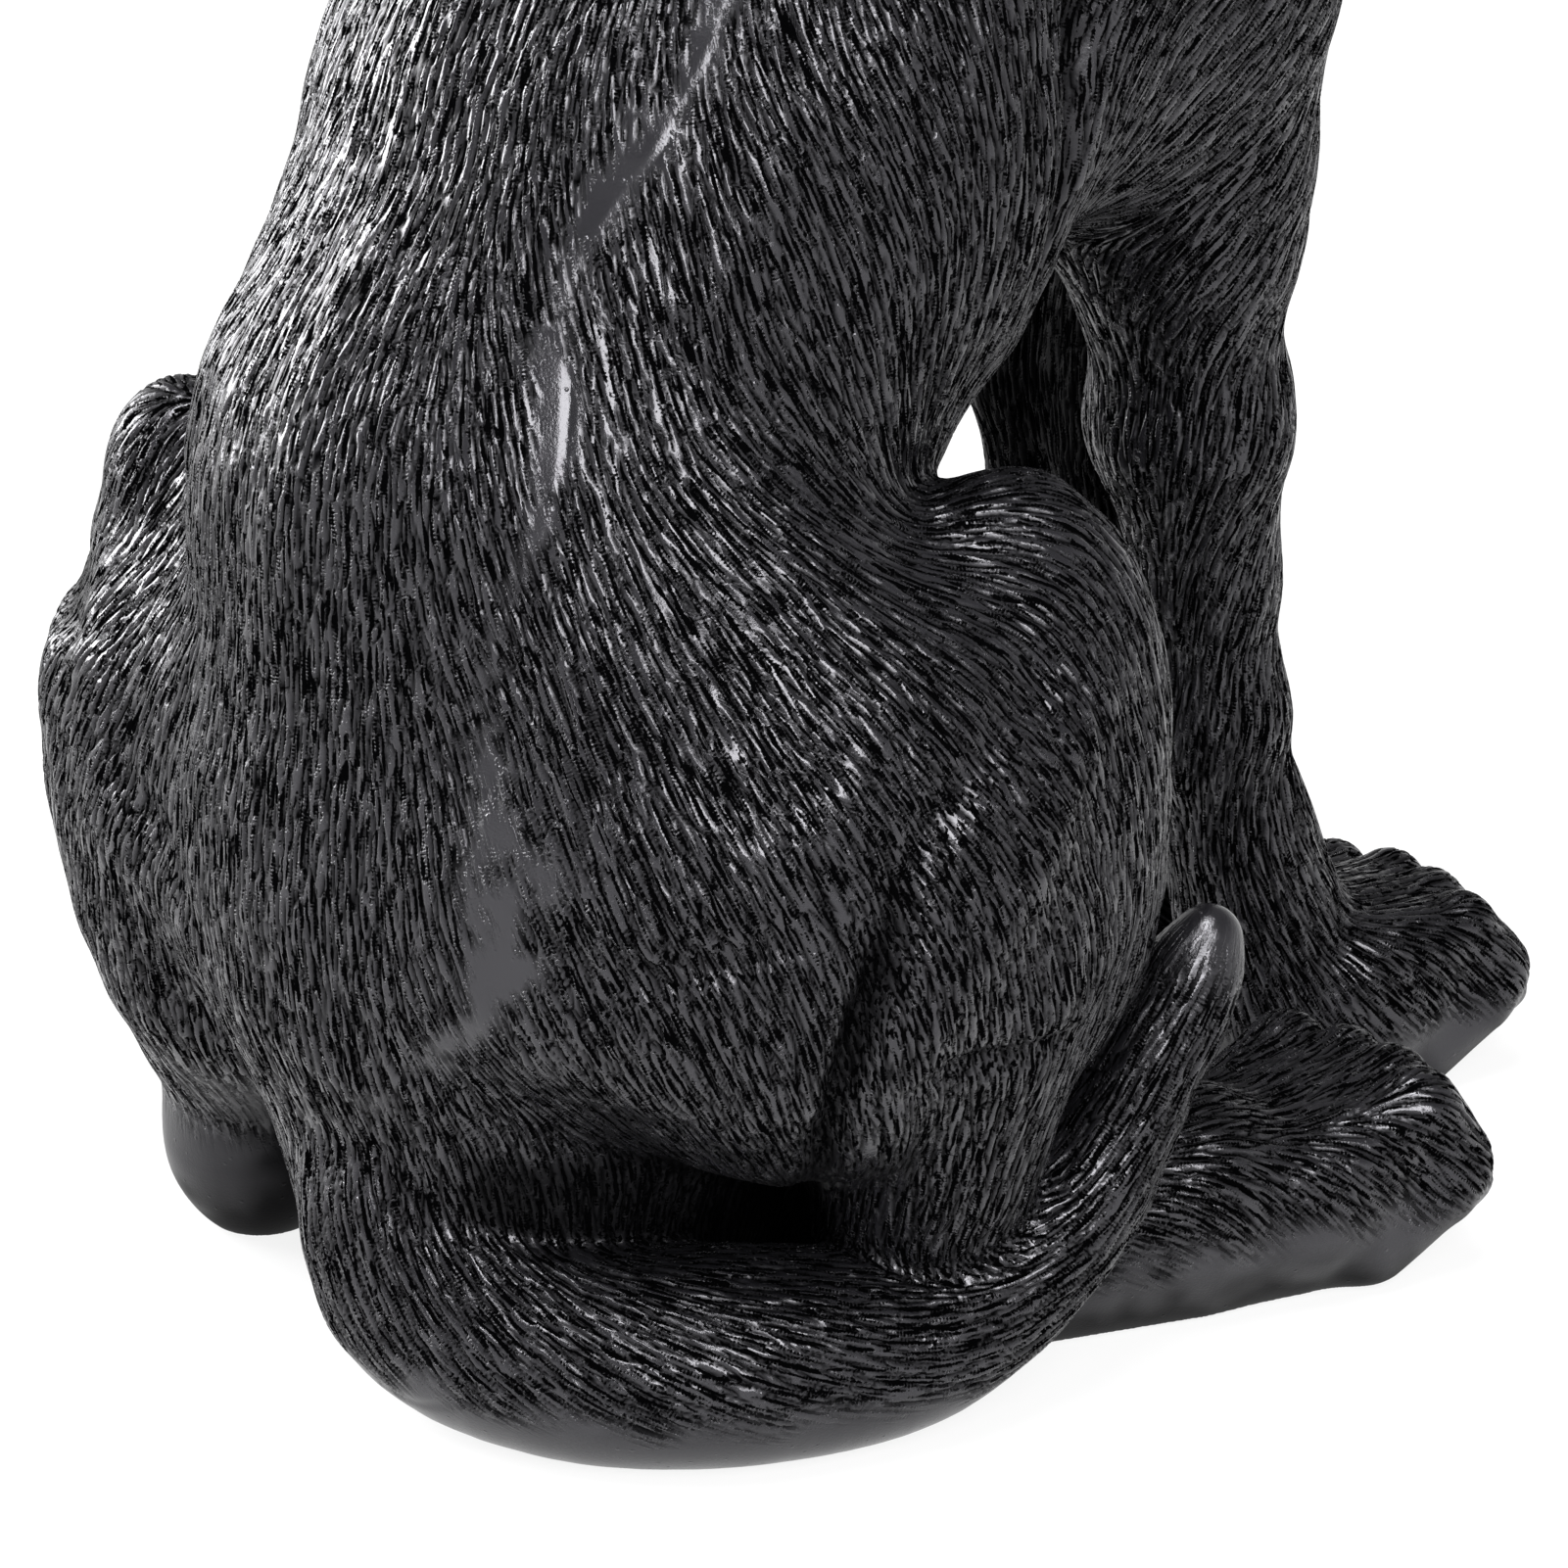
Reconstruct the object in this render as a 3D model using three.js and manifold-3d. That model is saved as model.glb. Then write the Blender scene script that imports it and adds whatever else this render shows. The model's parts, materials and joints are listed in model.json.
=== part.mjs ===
// A sitting dog ornament in cast resin. Two hollow body shells are bonded along a seam on the
// flanks, and the head, front legs, hind feet and tail are separate castings on steel pins.
// Millimetres, +Z up. The dog faces -Y, so its left side is +X.
import * as THREE from "three";
import { mergeVertices } from "three/addons/utils/BufferGeometryUtils.js";
import Module from "manifold-3d";

const wasm = await Module();
wasm.setup();

// Trunk
const WITHERS_HEIGHT = 196;
const CHEST_WIDTH = 98;
const CHEST_DEPTH = 88;
const CHEST_LENGTH = 112;
const CHEST_SET = 14;
const CHEST_LIFT = 153;
const BACK_LEAN = 40;
const LOIN_WIDTH = 88;
const LOIN_DEPTH = 86;
const LOIN_SET = 40;
const LOIN_LIFT = 113;
const LOIN_LEAN = 14;
const RUMP_WIDTH = 88;
const RUMP_DEPTH = 86;
const RUMP_SET = 44;
const RUMP_FOOT = 18;
const RUMP_HEIGHT = 122;
const SEAT_WIDTH = 62;
const SEAT_LENGTH = 60;
// Haunches
const HAUNCH_SPREAD = 40;
const HAUNCH_SET = 32;
const HAUNCH_WIDTH = 68;
const HAUNCH_LENGTH = 86;
const HAUNCH_FOOT = 35;
const RIGHT_HAUNCH_TOP = 115;
const LEFT_HAUNCH_TOP = 128;
const KNEE_HEIGHT = 117;
const KNEE_SPREAD = 50;
const KNEE_WIDTH = 30;
const SHANK_RADIUS = 17;
const HOCK_RADIUS = 12;
const BELLY_CREASE = 5;
const HAUNCH_MERGE = 20;
// Front legs
const FORELEG_SPREAD = 16;
const FORELEG_SET = -57;
const LEFT_ELBOW_LEAD = 10;
const LEFT_PAW_LEAD = 3;
const ELBOW_HEIGHT = 126;
const FOREARM_RADIUS = 13;
const WRIST_RADIUS = 8.6;
const WRIST_HEIGHT = 60;
// Paws
const PAW_WIDTH = 34;
const PAW_LENGTH = 52;
const FRONT_PAW_HEIGHT = 33;
const HIND_PAW_HEIGHT = 29;
const TOES = 4;
const HEEL_SPREAD = 34;
const HEEL_SET = 18;
const LEFT_HEEL_SPREAD = 50;
const LEFT_HEEL_SET = 47;
const HEEL_RADIUS = 13;
const HIND_PAW_SPREAD = 54;
const HIND_PAW_SET = -40;
// Tail
const TAIL_ROOT_RADIUS = 17;
const TAIL_RADIUS = 14.5;
const TAIL_TIP_RADIUS = 3.8;
const TAIL_TAPER = 1.8;
// Head
const HEAD_HEIGHT = 266;
const HEAD_SET = -44;
const SKULL_WIDTH = 64;
const SKULL_HEIGHT = 64;
const SKULL_LENGTH = 66;
const MUZZLE_LENGTH = 36;
const MUZZLE_WIDTH = 38;
const NECK_RADIUS = 34;
const EAR_LENGTH = 52;
const EYE_DIAMETER = 11;
// Casting and assembly
const WALL = 7;
const GLUE_LINE = 0.3;
const SEAM_DEPTH = 9.5;
const PIN_DIAMETER = 5;
const PIN_CLEARANCE = 0.3;
const DOWEL_DIAMETER = 3;
const DOWEL_REACH = 7;
const SPIGOT_DIAMETER = 30;
const SPIGOT_REACH = 20;
const VENT_DIAMETER = 12;
const PLUG_FLANGE = 3;
const PLUG_FLANGE_THICKNESS = 2;
const PLUG_LENGTH = 14;
const PAD_DIAMETER = 12;
const PAD_THICKNESS = 2;
const PAD_PROUD = 0.5;
// Facets
const BODY_CELL = 7.6;
const CORE_CELL = 12;
const LIMB_CELL = 6;
const TAIL_CELL = 5;
const HEAD_CELL = 6.2;
const ROUND_SIDES = 16;
const SLIVER = 0.02;

const RIGHT = -1;
const LEFT = 1;
const SIDES = [RIGHT, LEFT];
const at = (x, y, z) => new THREE.Vector3(x, y, z);
const UP = at(0, 0, 1);

// Clay: soft forms that melt into each other

class Lump {
  // An ellipsoid, leaned about X (positive tips its top towards the nose) and swung about Z, in degrees.
  constructor(centre, radii, lean = 0, swing = 0) {
    const { degToRad } = THREE.MathUtils;
    const turn = new THREE.Euler(degToRad(lean), 0, degToRad(swing), "ZXY");
    const placed = new THREE.Matrix4().makeRotationFromEuler(turn).setPosition(centre);
    this.radii = radii;
    this.least = Math.min(...radii.toArray());
    this.local = placed.invert().elements;
    this.box = new THREE.Box3(centre, centre).clone().expandByScalar(Math.max(...radii.toArray()));
  }

  distance(x, y, z) {
    const m = this.local;
    const u = (m[0] * x + m[4] * y + m[8] * z + m[12]) / this.radii.x;
    const v = (m[1] * x + m[5] * y + m[9] * z + m[13]) / this.radii.y;
    const w = (m[2] * x + m[6] * y + m[10] * z + m[14]) / this.radii.z;
    const reach = Math.sqrt(u * u + v * v + w * w);
    const slope = Math.sqrt((u / this.radii.x) ** 2 + (v / this.radii.y) ** 2 + (w / this.radii.z) ** 2);
    return slope > 0 ? (reach * (reach - 1)) / slope : -this.least;
  }
}

class Limb {
  // A round bar that tapers from one ball to another.
  constructor(start, end, startRadius, endRadius) {
    Object.assign(this, { start, startRadius, endRadius });
    this.along = end.clone().sub(start);
    this.length2 = this.along.lengthSq();
    this.box = new THREE.Box3().setFromPoints([start, end]).expandByScalar(Math.max(startRadius, endRadius));
  }

  distance(x, y, z) {
    const { start, along } = this;
    const dx = x - start.x;
    const dy = y - start.y;
    const dz = z - start.z;
    const share = (dx * along.x + dy * along.y + dz * along.z) / this.length2;
    const t = Math.min(1, Math.max(0, share));
    const away = Math.sqrt((dx - along.x * t) ** 2 + (dy - along.y * t) ** 2 + (dz - along.z * t) ** 2);
    return away - this.startRadius - (this.endRadius - this.startRadius) * t;
  }
}

class Fold {
  // A groove along a line, or a ridge where its depth is negative, that fades at both ends.
  constructor(points, width, depth) {
    Object.assign(this, { width, depth });
    this.line = new THREE.CatmullRomCurve3(points).getPoints(4 * points.length);
    this.box = new THREE.Box3().setFromPoints(points).expandByScalar(3 * width);
    this.spot = at(0, 0, 0);
    this.nearest = at(0, 0, 0);
  }

  press(x, y, z) {
    const { line, spot, nearest } = this;
    if (!this.box.containsPoint(spot.set(x, y, z))) return 0;
    let best = Infinity;
    let share = 0;
    for (let n = 1; n < line.length; n++) {
      const piece = new THREE.Line3(line[n - 1], line[n]);
      const t = piece.closestPointToPointParameter(spot, true);
      const away = piece.at(t, nearest).distanceToSquared(spot);
      if (away < best) [best, share] = [away, (n - 1 + t) / (line.length - 1)];
    }
    return this.depth * Math.sqrt(Math.sin(Math.PI * share)) * Math.exp(-best / this.width ** 2);
  }
}

class Clay {
  // Forms joined with fillets of about the blend's size, which can widen from place to place.
  constructor(blend, forms, { widen = () => 0, folds = [] } = {}) {
    Object.assign(this, { blend, forms, widen, folds });
    this.box = new THREE.Box3();
    forms.forEach((form) => this.box.union(form.box));
  }

  distance(x, y, z) {
    let nearest = this.forms[0].distance(x, y, z);
    for (let n = 1; n < this.forms.length; n++) {
      const d = this.forms[n].distance(x, y, z);
      const blend = this.blend + this.widen(n, x, y, z);
      const near = Math.max(blend - Math.abs(nearest - d), 0);
      nearest = Math.min(nearest, d) - (near * near) / (4 * blend);
    }
    return this.folds.reduce((depth, fold) => depth + fold.press(x, y, z), nearest);
  }

  // The way out of the clay at a point, steeper where the field is stretched.
  slope(p, step = 0.2) {
    const rise = (x, y, z) =>
      this.distance(p.x + x, p.y + y, p.z + z) - this.distance(p.x - x, p.y - y, p.z - z);
    return at(rise(step, 0, 0), rise(0, step, 0), rise(0, 0, step)).divideScalar(2 * step);
  }

  // Where a line from inside first comes to a given depth below the skin.
  reach(from, way, depth = 0) {
    const point = from.clone();
    const STEP = 0.25;
    while (this.distance(point.x, point.y, point.z) < -depth) point.addScaledVector(way, STEP);
    return point;
  }
}

// Surface nets: one vertex in each cell that the skin crosses, evened out and drawn on to the skin
function skin(clay, cell, inset = 0) {
  const box = clay.box.clone().expandByScalar(clay.blend + 2 * cell);
  const [nx, ny, nz] = box.getSize(at(0, 0, 0)).divideScalar(cell).ceil().addScalar(1).toArray();
  const index = (i, j, k) => i + nx * (j + ny * k);
  const place = (i, j, k) => at(i, j, k).multiplyScalar(cell).add(box.min);
  const depth = (p) => clay.distance(p.x, p.y, p.z) + inset;
  const field = new Float32Array(nx * ny * nz);
  const SAFE_STEP = 0.35;
  for (let k = 0; k < nz; k++) {
    for (let j = 0; j < ny; j++) {
      for (let i = 0; i < nx; i++) {
        const value = depth(place(i, j, k));
        const skip = Math.min(Math.floor((Math.abs(value) * SAFE_STEP) / cell), nx - 1 - i);
        field.fill(value, index(i, j, k), index(i, j, k) + skip + 1);
        i += skip;
      }
    }
  }
  const corners = [0, 1, 2, 3, 4, 5, 6, 7].map((c) => [c & 1, (c >> 1) & 1, (c >> 2) & 1]);
  const edges = [];
  corners.forEach((a, p) => corners.slice(p + 1).forEach((b) => {
    if (Math.abs(a[0] - b[0]) + Math.abs(a[1] - b[1]) + Math.abs(a[2] - b[2]) === 1) edges.push([a, b]);
  }));
  const vertexOf = new Map();
  const vertices = [];
  for (let k = 0; k < nz - 1; k++) {
    for (let j = 0; j < ny - 1; j++) {
      for (let i = 0; i < nx - 1; i++) {
        const middle = at(0, 0, 0);
        let crossings = 0;
        for (const [a, b] of edges) {
          const va = field[index(i + a[0], j + a[1], k + a[2])];
          const vb = field[index(i + b[0], j + b[1], k + b[2])];
          if (va < 0 === vb < 0) continue;
          middle.add(at(...a).lerp(at(...b), va / (va - vb)));
          crossings++;
        }
        if (!crossings) continue;
        vertexOf.set(index(i, j, k), vertices.length);
        vertices.push(middle.divideScalar(crossings).multiplyScalar(cell).add(place(i, j, k)));
      }
    }
  }
  const quads = [];
  const steps = [[1, 0, 0], [0, 1, 0], [0, 0, 1]];
  const turns = [[1, 1], [0, 1], [0, 0], [1, 0]];
  for (let k = 1; k < nz - 1; k++) {
    for (let j = 1; j < ny - 1; j++) {
      for (let i = 1; i < nx - 1; i++) {
        const here = field[index(i, j, k)] < 0;
        steps.forEach((step, axis) => {
          const there = field[index(i + step[0], j + step[1], k + step[2])] < 0;
          if (here === there) return;
          const u = steps[(axis + 1) % 3];
          const v = steps[(axis + 2) % 3];
          const ring = turns.map(([p, q]) =>
            vertexOf.get(index(i - p * u[0] - q * v[0], j - p * u[1] - q * v[1], k - p * u[2] - q * v[2])));
          quads.push(here ? ring : ring.reverse());
        });
      }
    }
  }
  const RELAX_PASSES = 4;
  const LEAST_SLOPE = 0.3;
  for (let pass = 0; pass < RELAX_PASSES; pass++) {
    const sums = vertices.map(() => at(0, 0, 0));
    const counts = new Float32Array(vertices.length);
    quads.forEach((quad) => quad.forEach((a, n) => {
      sums[a].add(vertices[quad[(n + 1) % 4]]).add(vertices[quad[(n + 3) % 4]]);
      counts[a] += 2;
    }));
    vertices.forEach((vertex, n) => {
      vertex.lerp(sums[n].divideScalar(counts[n]), 0.5);
      const way = clay.slope(vertex);
      const pull = depth(vertex) / Math.max(way.lengthSq(), LEAST_SLOPE);
      vertex.addScaledVector(way, -THREE.MathUtils.clamp(pull, -cell / 3, cell / 3));
    });
  }
  const triangles = quads.flatMap(([a, b, c, d]) => {
    const split = vertices[a].distanceTo(vertices[c]) < vertices[b].distanceTo(vertices[d]);
    return split ? [a, b, c, a, c, d] : [a, b, d, b, c, d];
  });
  return new THREE.BufferGeometry().setFromPoints(vertices).setIndex(triangles);
}

// Solids: closed meshes that can be joined and cut

function solidOf(geometry, matrix = new THREE.Matrix4()) {
  const bare = geometry.clone().applyMatrix4(matrix);
  bare.deleteAttribute("normal");
  bare.deleteAttribute("uv");
  const merged = mergeVertices(bare, 1e-4);
  return new wasm.Manifold(new wasm.Mesh({
    numProp: 3,
    vertProperties: new Float32Array(merged.attributes.position.array),
    triVerts: new Uint32Array(merged.index.array),
  }));
}

function geometryOf(solid) {
  const { vertProperties, triVerts } = solid.getMesh();
  const geometry = new THREE.BufferGeometry();
  geometry.setAttribute("position", new THREE.Float32BufferAttribute(vertProperties, 3));
  geometry.setIndex(new THREE.BufferAttribute(triVerts, 1));
  geometry.computeVertexNormals();
  return geometry;
}

const clayCast = (clay, cell, inset) => solidOf(skin(clay, cell, inset));

// Turns +Y, the axis of lathed and round pieces, to a direction, and sets it at a point.
function posed(point, way) {
  const turn = new THREE.Quaternion().setFromUnitVectors(at(0, 1, 0), way.clone().normalize());
  return new THREE.Matrix4().compose(point, turn, at(1, 1, 1));
}

// Everything on the side of a plane that its normal points to.
const HALF_SPACE = 800;
function beyond(point, way) {
  const centre = point.clone().addScaledVector(way.clone().normalize(), HALF_SPACE / 2);
  return solidOf(new THREE.BoxGeometry(HALF_SPACE, HALF_SPACE, HALF_SPACE), posed(centre, way));
}

// A round bar from one point to another.
function bar(from, to, radius) {
  const along = to.clone().sub(from);
  const round = new THREE.CylinderGeometry(radius, radius, along.length(), ROUND_SIDES);
  return solidOf(round, posed(from.clone().lerp(to, 0.5), along));
}

// A solid with others taken out of it.
function cut(solid, ...others) {
  return others.reduce((left, other) => left.subtract(other), solid);
}

// The main body of a cut casting, without the crumbs and slivers of the cut.
function largest(solid) {
  const parts = solid.simplify(SLIVER).decompose();
  return parts.reduce((best, part) => (part.volume() > best.volume() ? part : best));
}

// Form of the dog

const base = PAD_PROUD;
const onLeft = (side, value) => (side === LEFT ? value : 0);
const rump = new Lump(
  at(0, RUMP_SET, (RUMP_HEIGHT + RUMP_FOOT) / 2),
  at(RUMP_WIDTH / 2, RUMP_DEPTH / 2, (RUMP_HEIGHT - RUMP_FOOT) / 2),
);
const loin = new Lump(at(0, LOIN_SET, LOIN_LIFT), at(LOIN_WIDTH / 2, LOIN_DEPTH / 2, 40), LOIN_LEAN);
const chestRadii = at(CHEST_WIDTH, CHEST_DEPTH, CHEST_LENGTH).divideScalar(2);
const ribs = new Lump(at(0, CHEST_SET, CHEST_LIFT), chestRadii, BACK_LEAN);
const seat = new Lump(at(0, RUMP_SET - 1, 24), at(SEAT_WIDTH / 2, SEAT_LENGTH / 2, 30));
const chestForms = [
  new Lump(at(0, CHEST_SET - 44, CHEST_LIFT + 19), at(37, 38, 40)),
  new Lump(at(0, CHEST_SET - 62, CHEST_LIFT + 13), at(28, 27, 32)),
  new Lump(at(0, -2, WITHERS_HEIGHT - 14), at(37, 38, 24), BACK_LEAN),
];
const neckFoot = at(0, -16, WITHERS_HEIGHT - 12);
const neckTop = at(0, HEAD_SET + 10, HEAD_HEIGHT - 12);
const neckForm = new Limb(neckFoot, neckTop, NECK_RADIUS + 4, NECK_RADIUS - 5);
const elbow = (side) =>
  at(side * FORELEG_SPREAD, FORELEG_SET - onLeft(side, LEFT_ELBOW_LEAD), ELBOW_HEIGHT);
const shoulderForms = (side) => [
  new Lump(at(side * 26, CHEST_SET - 48, CHEST_LIFT + 23), at(20, 30, 36)),
  new Limb(
    at(side * 23, CHEST_SET - 62, CHEST_LIFT + 11),
    elbow(side).add(at(side * 2, 1, 4)),
    21,
    FOREARM_RADIUS + 0.5,
  ),
];

const haunchTop = (side) => (side === RIGHT ? RIGHT_HAUNCH_TOP : LEFT_HAUNCH_TOP);
const thigh = (side) => new Lump(
  at(side * HAUNCH_SPREAD, HAUNCH_SET, (haunchTop(side) + HAUNCH_FOOT) / 2),
  at(HAUNCH_WIDTH / 2, HAUNCH_LENGTH / 2, (haunchTop(side) - HAUNCH_FOOT) / 2),
);
const heel = (side) => (side === RIGHT
  ? at(-HEEL_SPREAD, HEEL_SET, HEEL_RADIUS + base)
  : at(LEFT_HEEL_SPREAD, LEFT_HEEL_SET, HEEL_RADIUS + base));
const shankTop = (side) => at(side * (KNEE_SPREAD - 5), 11, KNEE_HEIGHT / 2);
const shankFoot = (side) => heel(side).add(at(0, -1, HEEL_RADIUS));
const buttock = new Lump(at(42, 48, 64), at(28, 29, 44));
const haunchClay = (side) => new Clay(12, [
  thigh(side),
  new Lump(at(side * KNEE_SPREAD, 9, KNEE_HEIGHT - 25), at(KNEE_WIDTH / 2, KNEE_WIDTH / 2 + 1, 25)),
  new Limb(shankTop(side), shankFoot(side), SHANK_RADIUS, HOCK_RADIUS),
  ...(side === LEFT ? [buttock] : []),
]);
const trunkForms = [rump, loin, ribs, seat, neckForm, ...chestForms, ...SIDES.flatMap(shoulderForms)];
const trunkClay = new Clay(13, trunkForms);
// The haunches flow into the back and stay creased at the belly; the left one stands free at its top.
function haunchMerge(n, x, y, z) {
  const { smoothstep } = THREE.MathUtils;
  const free = n === 2 ? 0.4 + 0.6 * smoothstep(z, LEFT_HAUNCH_TOP - 24, LEFT_HAUNCH_TOP) : 0;
  return HAUNCH_MERGE * smoothstep(y, 15, 50) * smoothstep(z, HAUNCH_FOOT + 1, HAUNCH_FOOT + 29) * (1 - free);
}
// The groove behind the shoulder, the upper arm in front of it, and the muscles over the knee.
const bodyFolds = (side) => {
  const line = (...spots) => spots.map(([x, y, z]) => at(side * x, y, z));
  return [
    new Fold(line([43, 8, 200], [46, 1, 178], [47, -1, 162], [46, 1, 148], [42, 4, 134]), 3.6, 2.4),
    new Fold(line([47, -16, 186], [47, -16, 164], [38, -24, 144]), 9, -2.2),
    new Fold(line([67, 20, 103], [70, 36, 95], [71, 48, 87], [70, 55, 76], [66, 55, 60]), 3, 1.5),
    new Fold(line([69, 12, 98], [72, 26, 88], [72, 36, 78], [70, 42, 66]), 4.5, -1.6),
  ];
};
const bodyClay = new Clay(BELLY_CREASE, [trunkClay, ...SIDES.map(haunchClay)], {
  widen: haunchMerge,
  folds: SIDES.flatMap(bodyFolds),
});
const coreClay = new Clay(13, [rump, loin, ribs, ...SIDES.map(thigh)]);

const tailPath = new THREE.CatmullRomCurve3([
  at(-2, 60, 40),
  at(-6, 65, 19),
  at(-24, 61, TAIL_RADIUS + 0.5),
  at(-41, 48, TAIL_RADIUS),
  at(-51, 28, TAIL_RADIUS + 1),
  at(-57, 9, 25),
  at(-62, -6, 46),
  at(-63.5, -10.5, 57.5),
]);
const TAIL_STEPS = 24;
const ROOT_SHARE = 0.25;
const tailRadius = (share) => {
  const { lerp } = THREE.MathUtils;
  const beyondRoot = Math.max((share - ROOT_SHARE) / (1 - ROOT_SHARE), 0);
  return share < ROOT_SHARE
    ? lerp(TAIL_ROOT_RADIUS, TAIL_RADIUS, share / ROOT_SHARE)
    : lerp(TAIL_RADIUS, TAIL_TIP_RADIUS, beyondRoot ** TAIL_TAPER);
};
const tailClay = new Clay(4, Array.from({ length: TAIL_STEPS }, (_, n) => {
  const [from, to] = [n / TAIL_STEPS, (n + 1) / TAIL_STEPS];
  return new Limb(tailPath.getPoint(from), tailPath.getPoint(to), tailRadius(from), tailRadius(to));
}));

// A paw's pad and its toes, from the middle of the paw and the way that it points.
function pawForms(middle, swing, height) {
  const turn = new THREE.Matrix4().makeRotationZ(THREE.MathUtils.degToRad(swing));
  const set = (x, y, z) => at(x, y, 0).applyMatrix4(turn).add(at(middle.x, middle.y, z));
  const toe = PAW_WIDTH / TOES;
  const forms = [
    new Lump(set(0, 0, height * 0.42), at(PAW_WIDTH / 2, PAW_LENGTH / 2, height / 2), 0, swing),
  ];
  for (let n = 0; n < TOES; n++) {
    const across = (n - (TOES - 1) / 2) * toe;
    const forward = -PAW_LENGTH * 0.36 + Math.abs(across) * 0.45;
    const toeRadii = at(toe * 0.62, PAW_LENGTH * 0.24, height * 0.4);
    forms.push(new Lump(set(across, forward, height * 0.34), toeRadii, 0, swing));
  }
  return forms;
}

const wrist = (side) =>
  at(side * FORELEG_SPREAD, FORELEG_SET - 7 - onLeft(side, LEFT_PAW_LEAD), WRIST_HEIGHT);
const instep = (side) => at(side * (FORELEG_SPREAD + 1), wrist(side).y - 14, FRONT_PAW_HEIGHT * 0.55);
const frontPaw = (side) => at(side * (FORELEG_SPREAD + 3), wrist(side).y - 28, 0);
const legClay = (side) => new Clay(6, [
  new Limb(elbow(side).add(at(0, 2, 12)), wrist(side), FOREARM_RADIUS + 1, WRIST_RADIUS),
  new Lump(wrist(side), at(WRIST_RADIUS + 0.8, WRIST_RADIUS + 1, 13)),
  new Limb(wrist(side), instep(side), WRIST_RADIUS, WRIST_RADIUS + 4),
  ...pawForms(frontPaw(side), side * 4, FRONT_PAW_HEIGHT),
]);
const webClay = new Clay(4, [new Lump(at(0, FORELEG_SET - 6, ELBOW_HEIGHT - 22), at(12, 8, 26))]);
const hindPaw = (side) => at(side * HIND_PAW_SPREAD, HIND_PAW_SET, 0);
const footClay = (side) => new Clay(7, [
  new Limb(heel(side), hindPaw(side).add(at(-side * 4, 20, 15)), HEEL_RADIUS, HEEL_RADIUS + 2),
  ...pawForms(hindPaw(side), side * 8, HIND_PAW_HEIGHT),
]);

const head = (x, y, z) => at(x, HEAD_SET + y, HEAD_HEIGHT + z);
const muzzleTip = -32 - MUZZLE_LENGTH;
const skull = new Lump(head(0, 0, 0), at(SKULL_WIDTH / 2, SKULL_LENGTH / 2, SKULL_HEIGHT / 2));
const faceForms = (side) => [
  new Lump(head(side * 17, -12, -14), at(15, 20, 18)),
  new Lump(head(side * 12, -25, 11), at(11, 9, 8)),
  new Lump(head(side * 9, muzzleTip + 19, -17), at(12, 20, 15)),
];
const earForms = (side) => [
  new Lump(head(side * 29, 4, 6), at(8, 14, 12), 0, side * 10),
  new Lump(head(side * 35, 3, -14), at(6.5, 15, EAR_LENGTH / 2), -6, side * 14),
];
const NECK_FILLET = 9;
const EAR_FILLET = 5;
const faceClay = new Clay(NECK_FILLET, [
  trunkClay,
  skull,
  new Limb(head(0, -18, -7), head(0, muzzleTip + 18, -10), 24, MUZZLE_WIDTH / 2 - 1),
  new Limb(head(0, -14, -22), head(0, muzzleTip + 20, -26), 15, 10),
  ...SIDES.flatMap(faceForms),
]);
const headClay = new Clay(EAR_FILLET, [
  faceClay,
  new Clay(EAR_FILLET, SIDES.flatMap(earForms)),
  new Lump(head(0, muzzleTip + 3, -3), at(10, 7, 7.5)),
]);

// Joints between the castings

const halfGlue = GLUE_LINE / 2;
const pinRadius = PIN_DIAMETER / 2;
const floorCut = beyond(at(0, 0, base), UP);
const neckWay = neckTop.clone().sub(neckFoot).normalize();
const neckJoint = neckFoot.clone().lerp(neckTop, 0.45);
const above = (point, way, gap) => beyond(point.clone().addScaledVector(way, gap), way);

// A pin between two points, and the bore that takes it.
function pinned(from, to, radius) {
  const way = to.clone().sub(from).normalize();
  const far = to.clone().addScaledVector(way, GLUE_LINE);
  const near = from.clone().addScaledVector(way, -GLUE_LINE);
  return { pin: bar(from, to, radius), bore: bar(near, far, radius + PIN_CLEARANCE) };
}

// The seam runs down both flanks at an even depth in front of the back's outline.
const SEAM_STEPS = 20;
const seamFoot = rump.box.getCenter(at(0, 0, 0));
const seamSpots = [0, 0.2, 0.4, 0.6, 0.8, 1].map((share) => {
  const inside = seamFoot.clone().lerp(neckTop, share);
  const spine = trunkClay.reach(inside, at(0, 1, 0));
  return new THREE.Vector2(spine.y - SEAM_DEPTH, inside.z);
});
const belowFloor = new THREE.Vector2(seamSpots[0].x, -SEAM_DEPTH);
const seamLine = new THREE.SplineCurve([belowFloor, ...seamSpots]);

// The space behind the seam, moved back by a gap.
function behindSeam(gap) {
  const line = seamLine.getPoints(SEAM_STEPS).map((p) => new THREE.Vector2(p.x + gap, p.y));
  const far = [line.at(-1), line[0]].map((p) => new THREE.Vector2(HALF_SPACE, p.y));
  const region = new THREE.Shape([...line, ...far]);
  const block = new THREE.ExtrudeGeometry(region, { depth: HALF_SPACE, bevelEnabled: false });
  block.translate(0, 0, -HALF_SPACE / 2);
  return solidOf(block, new THREE.Matrix4().makeBasis(at(0, 1, 0), UP, at(1, 0, 0)));
}

// A dowel across the seam in the middle of the wall, lying along the skin.
function seamDowel(side, share) {
  const { x: y, y: z } = seamLine.getPoint(share);
  const middle = bodyClay.reach(at(0, y, z), at(side, 0, 0), WALL / 2);
  const out = bodyClay.slope(middle).normalize();
  const way = at(0, 1, 0).addScaledVector(out, -out.y).normalize();
  const end = (reach) => middle.clone().addScaledVector(way, reach);
  return pinned(end(-DOWEL_REACH), end(DOWEL_REACH), DOWEL_DIAMETER / 2);
}

// Castings

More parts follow.
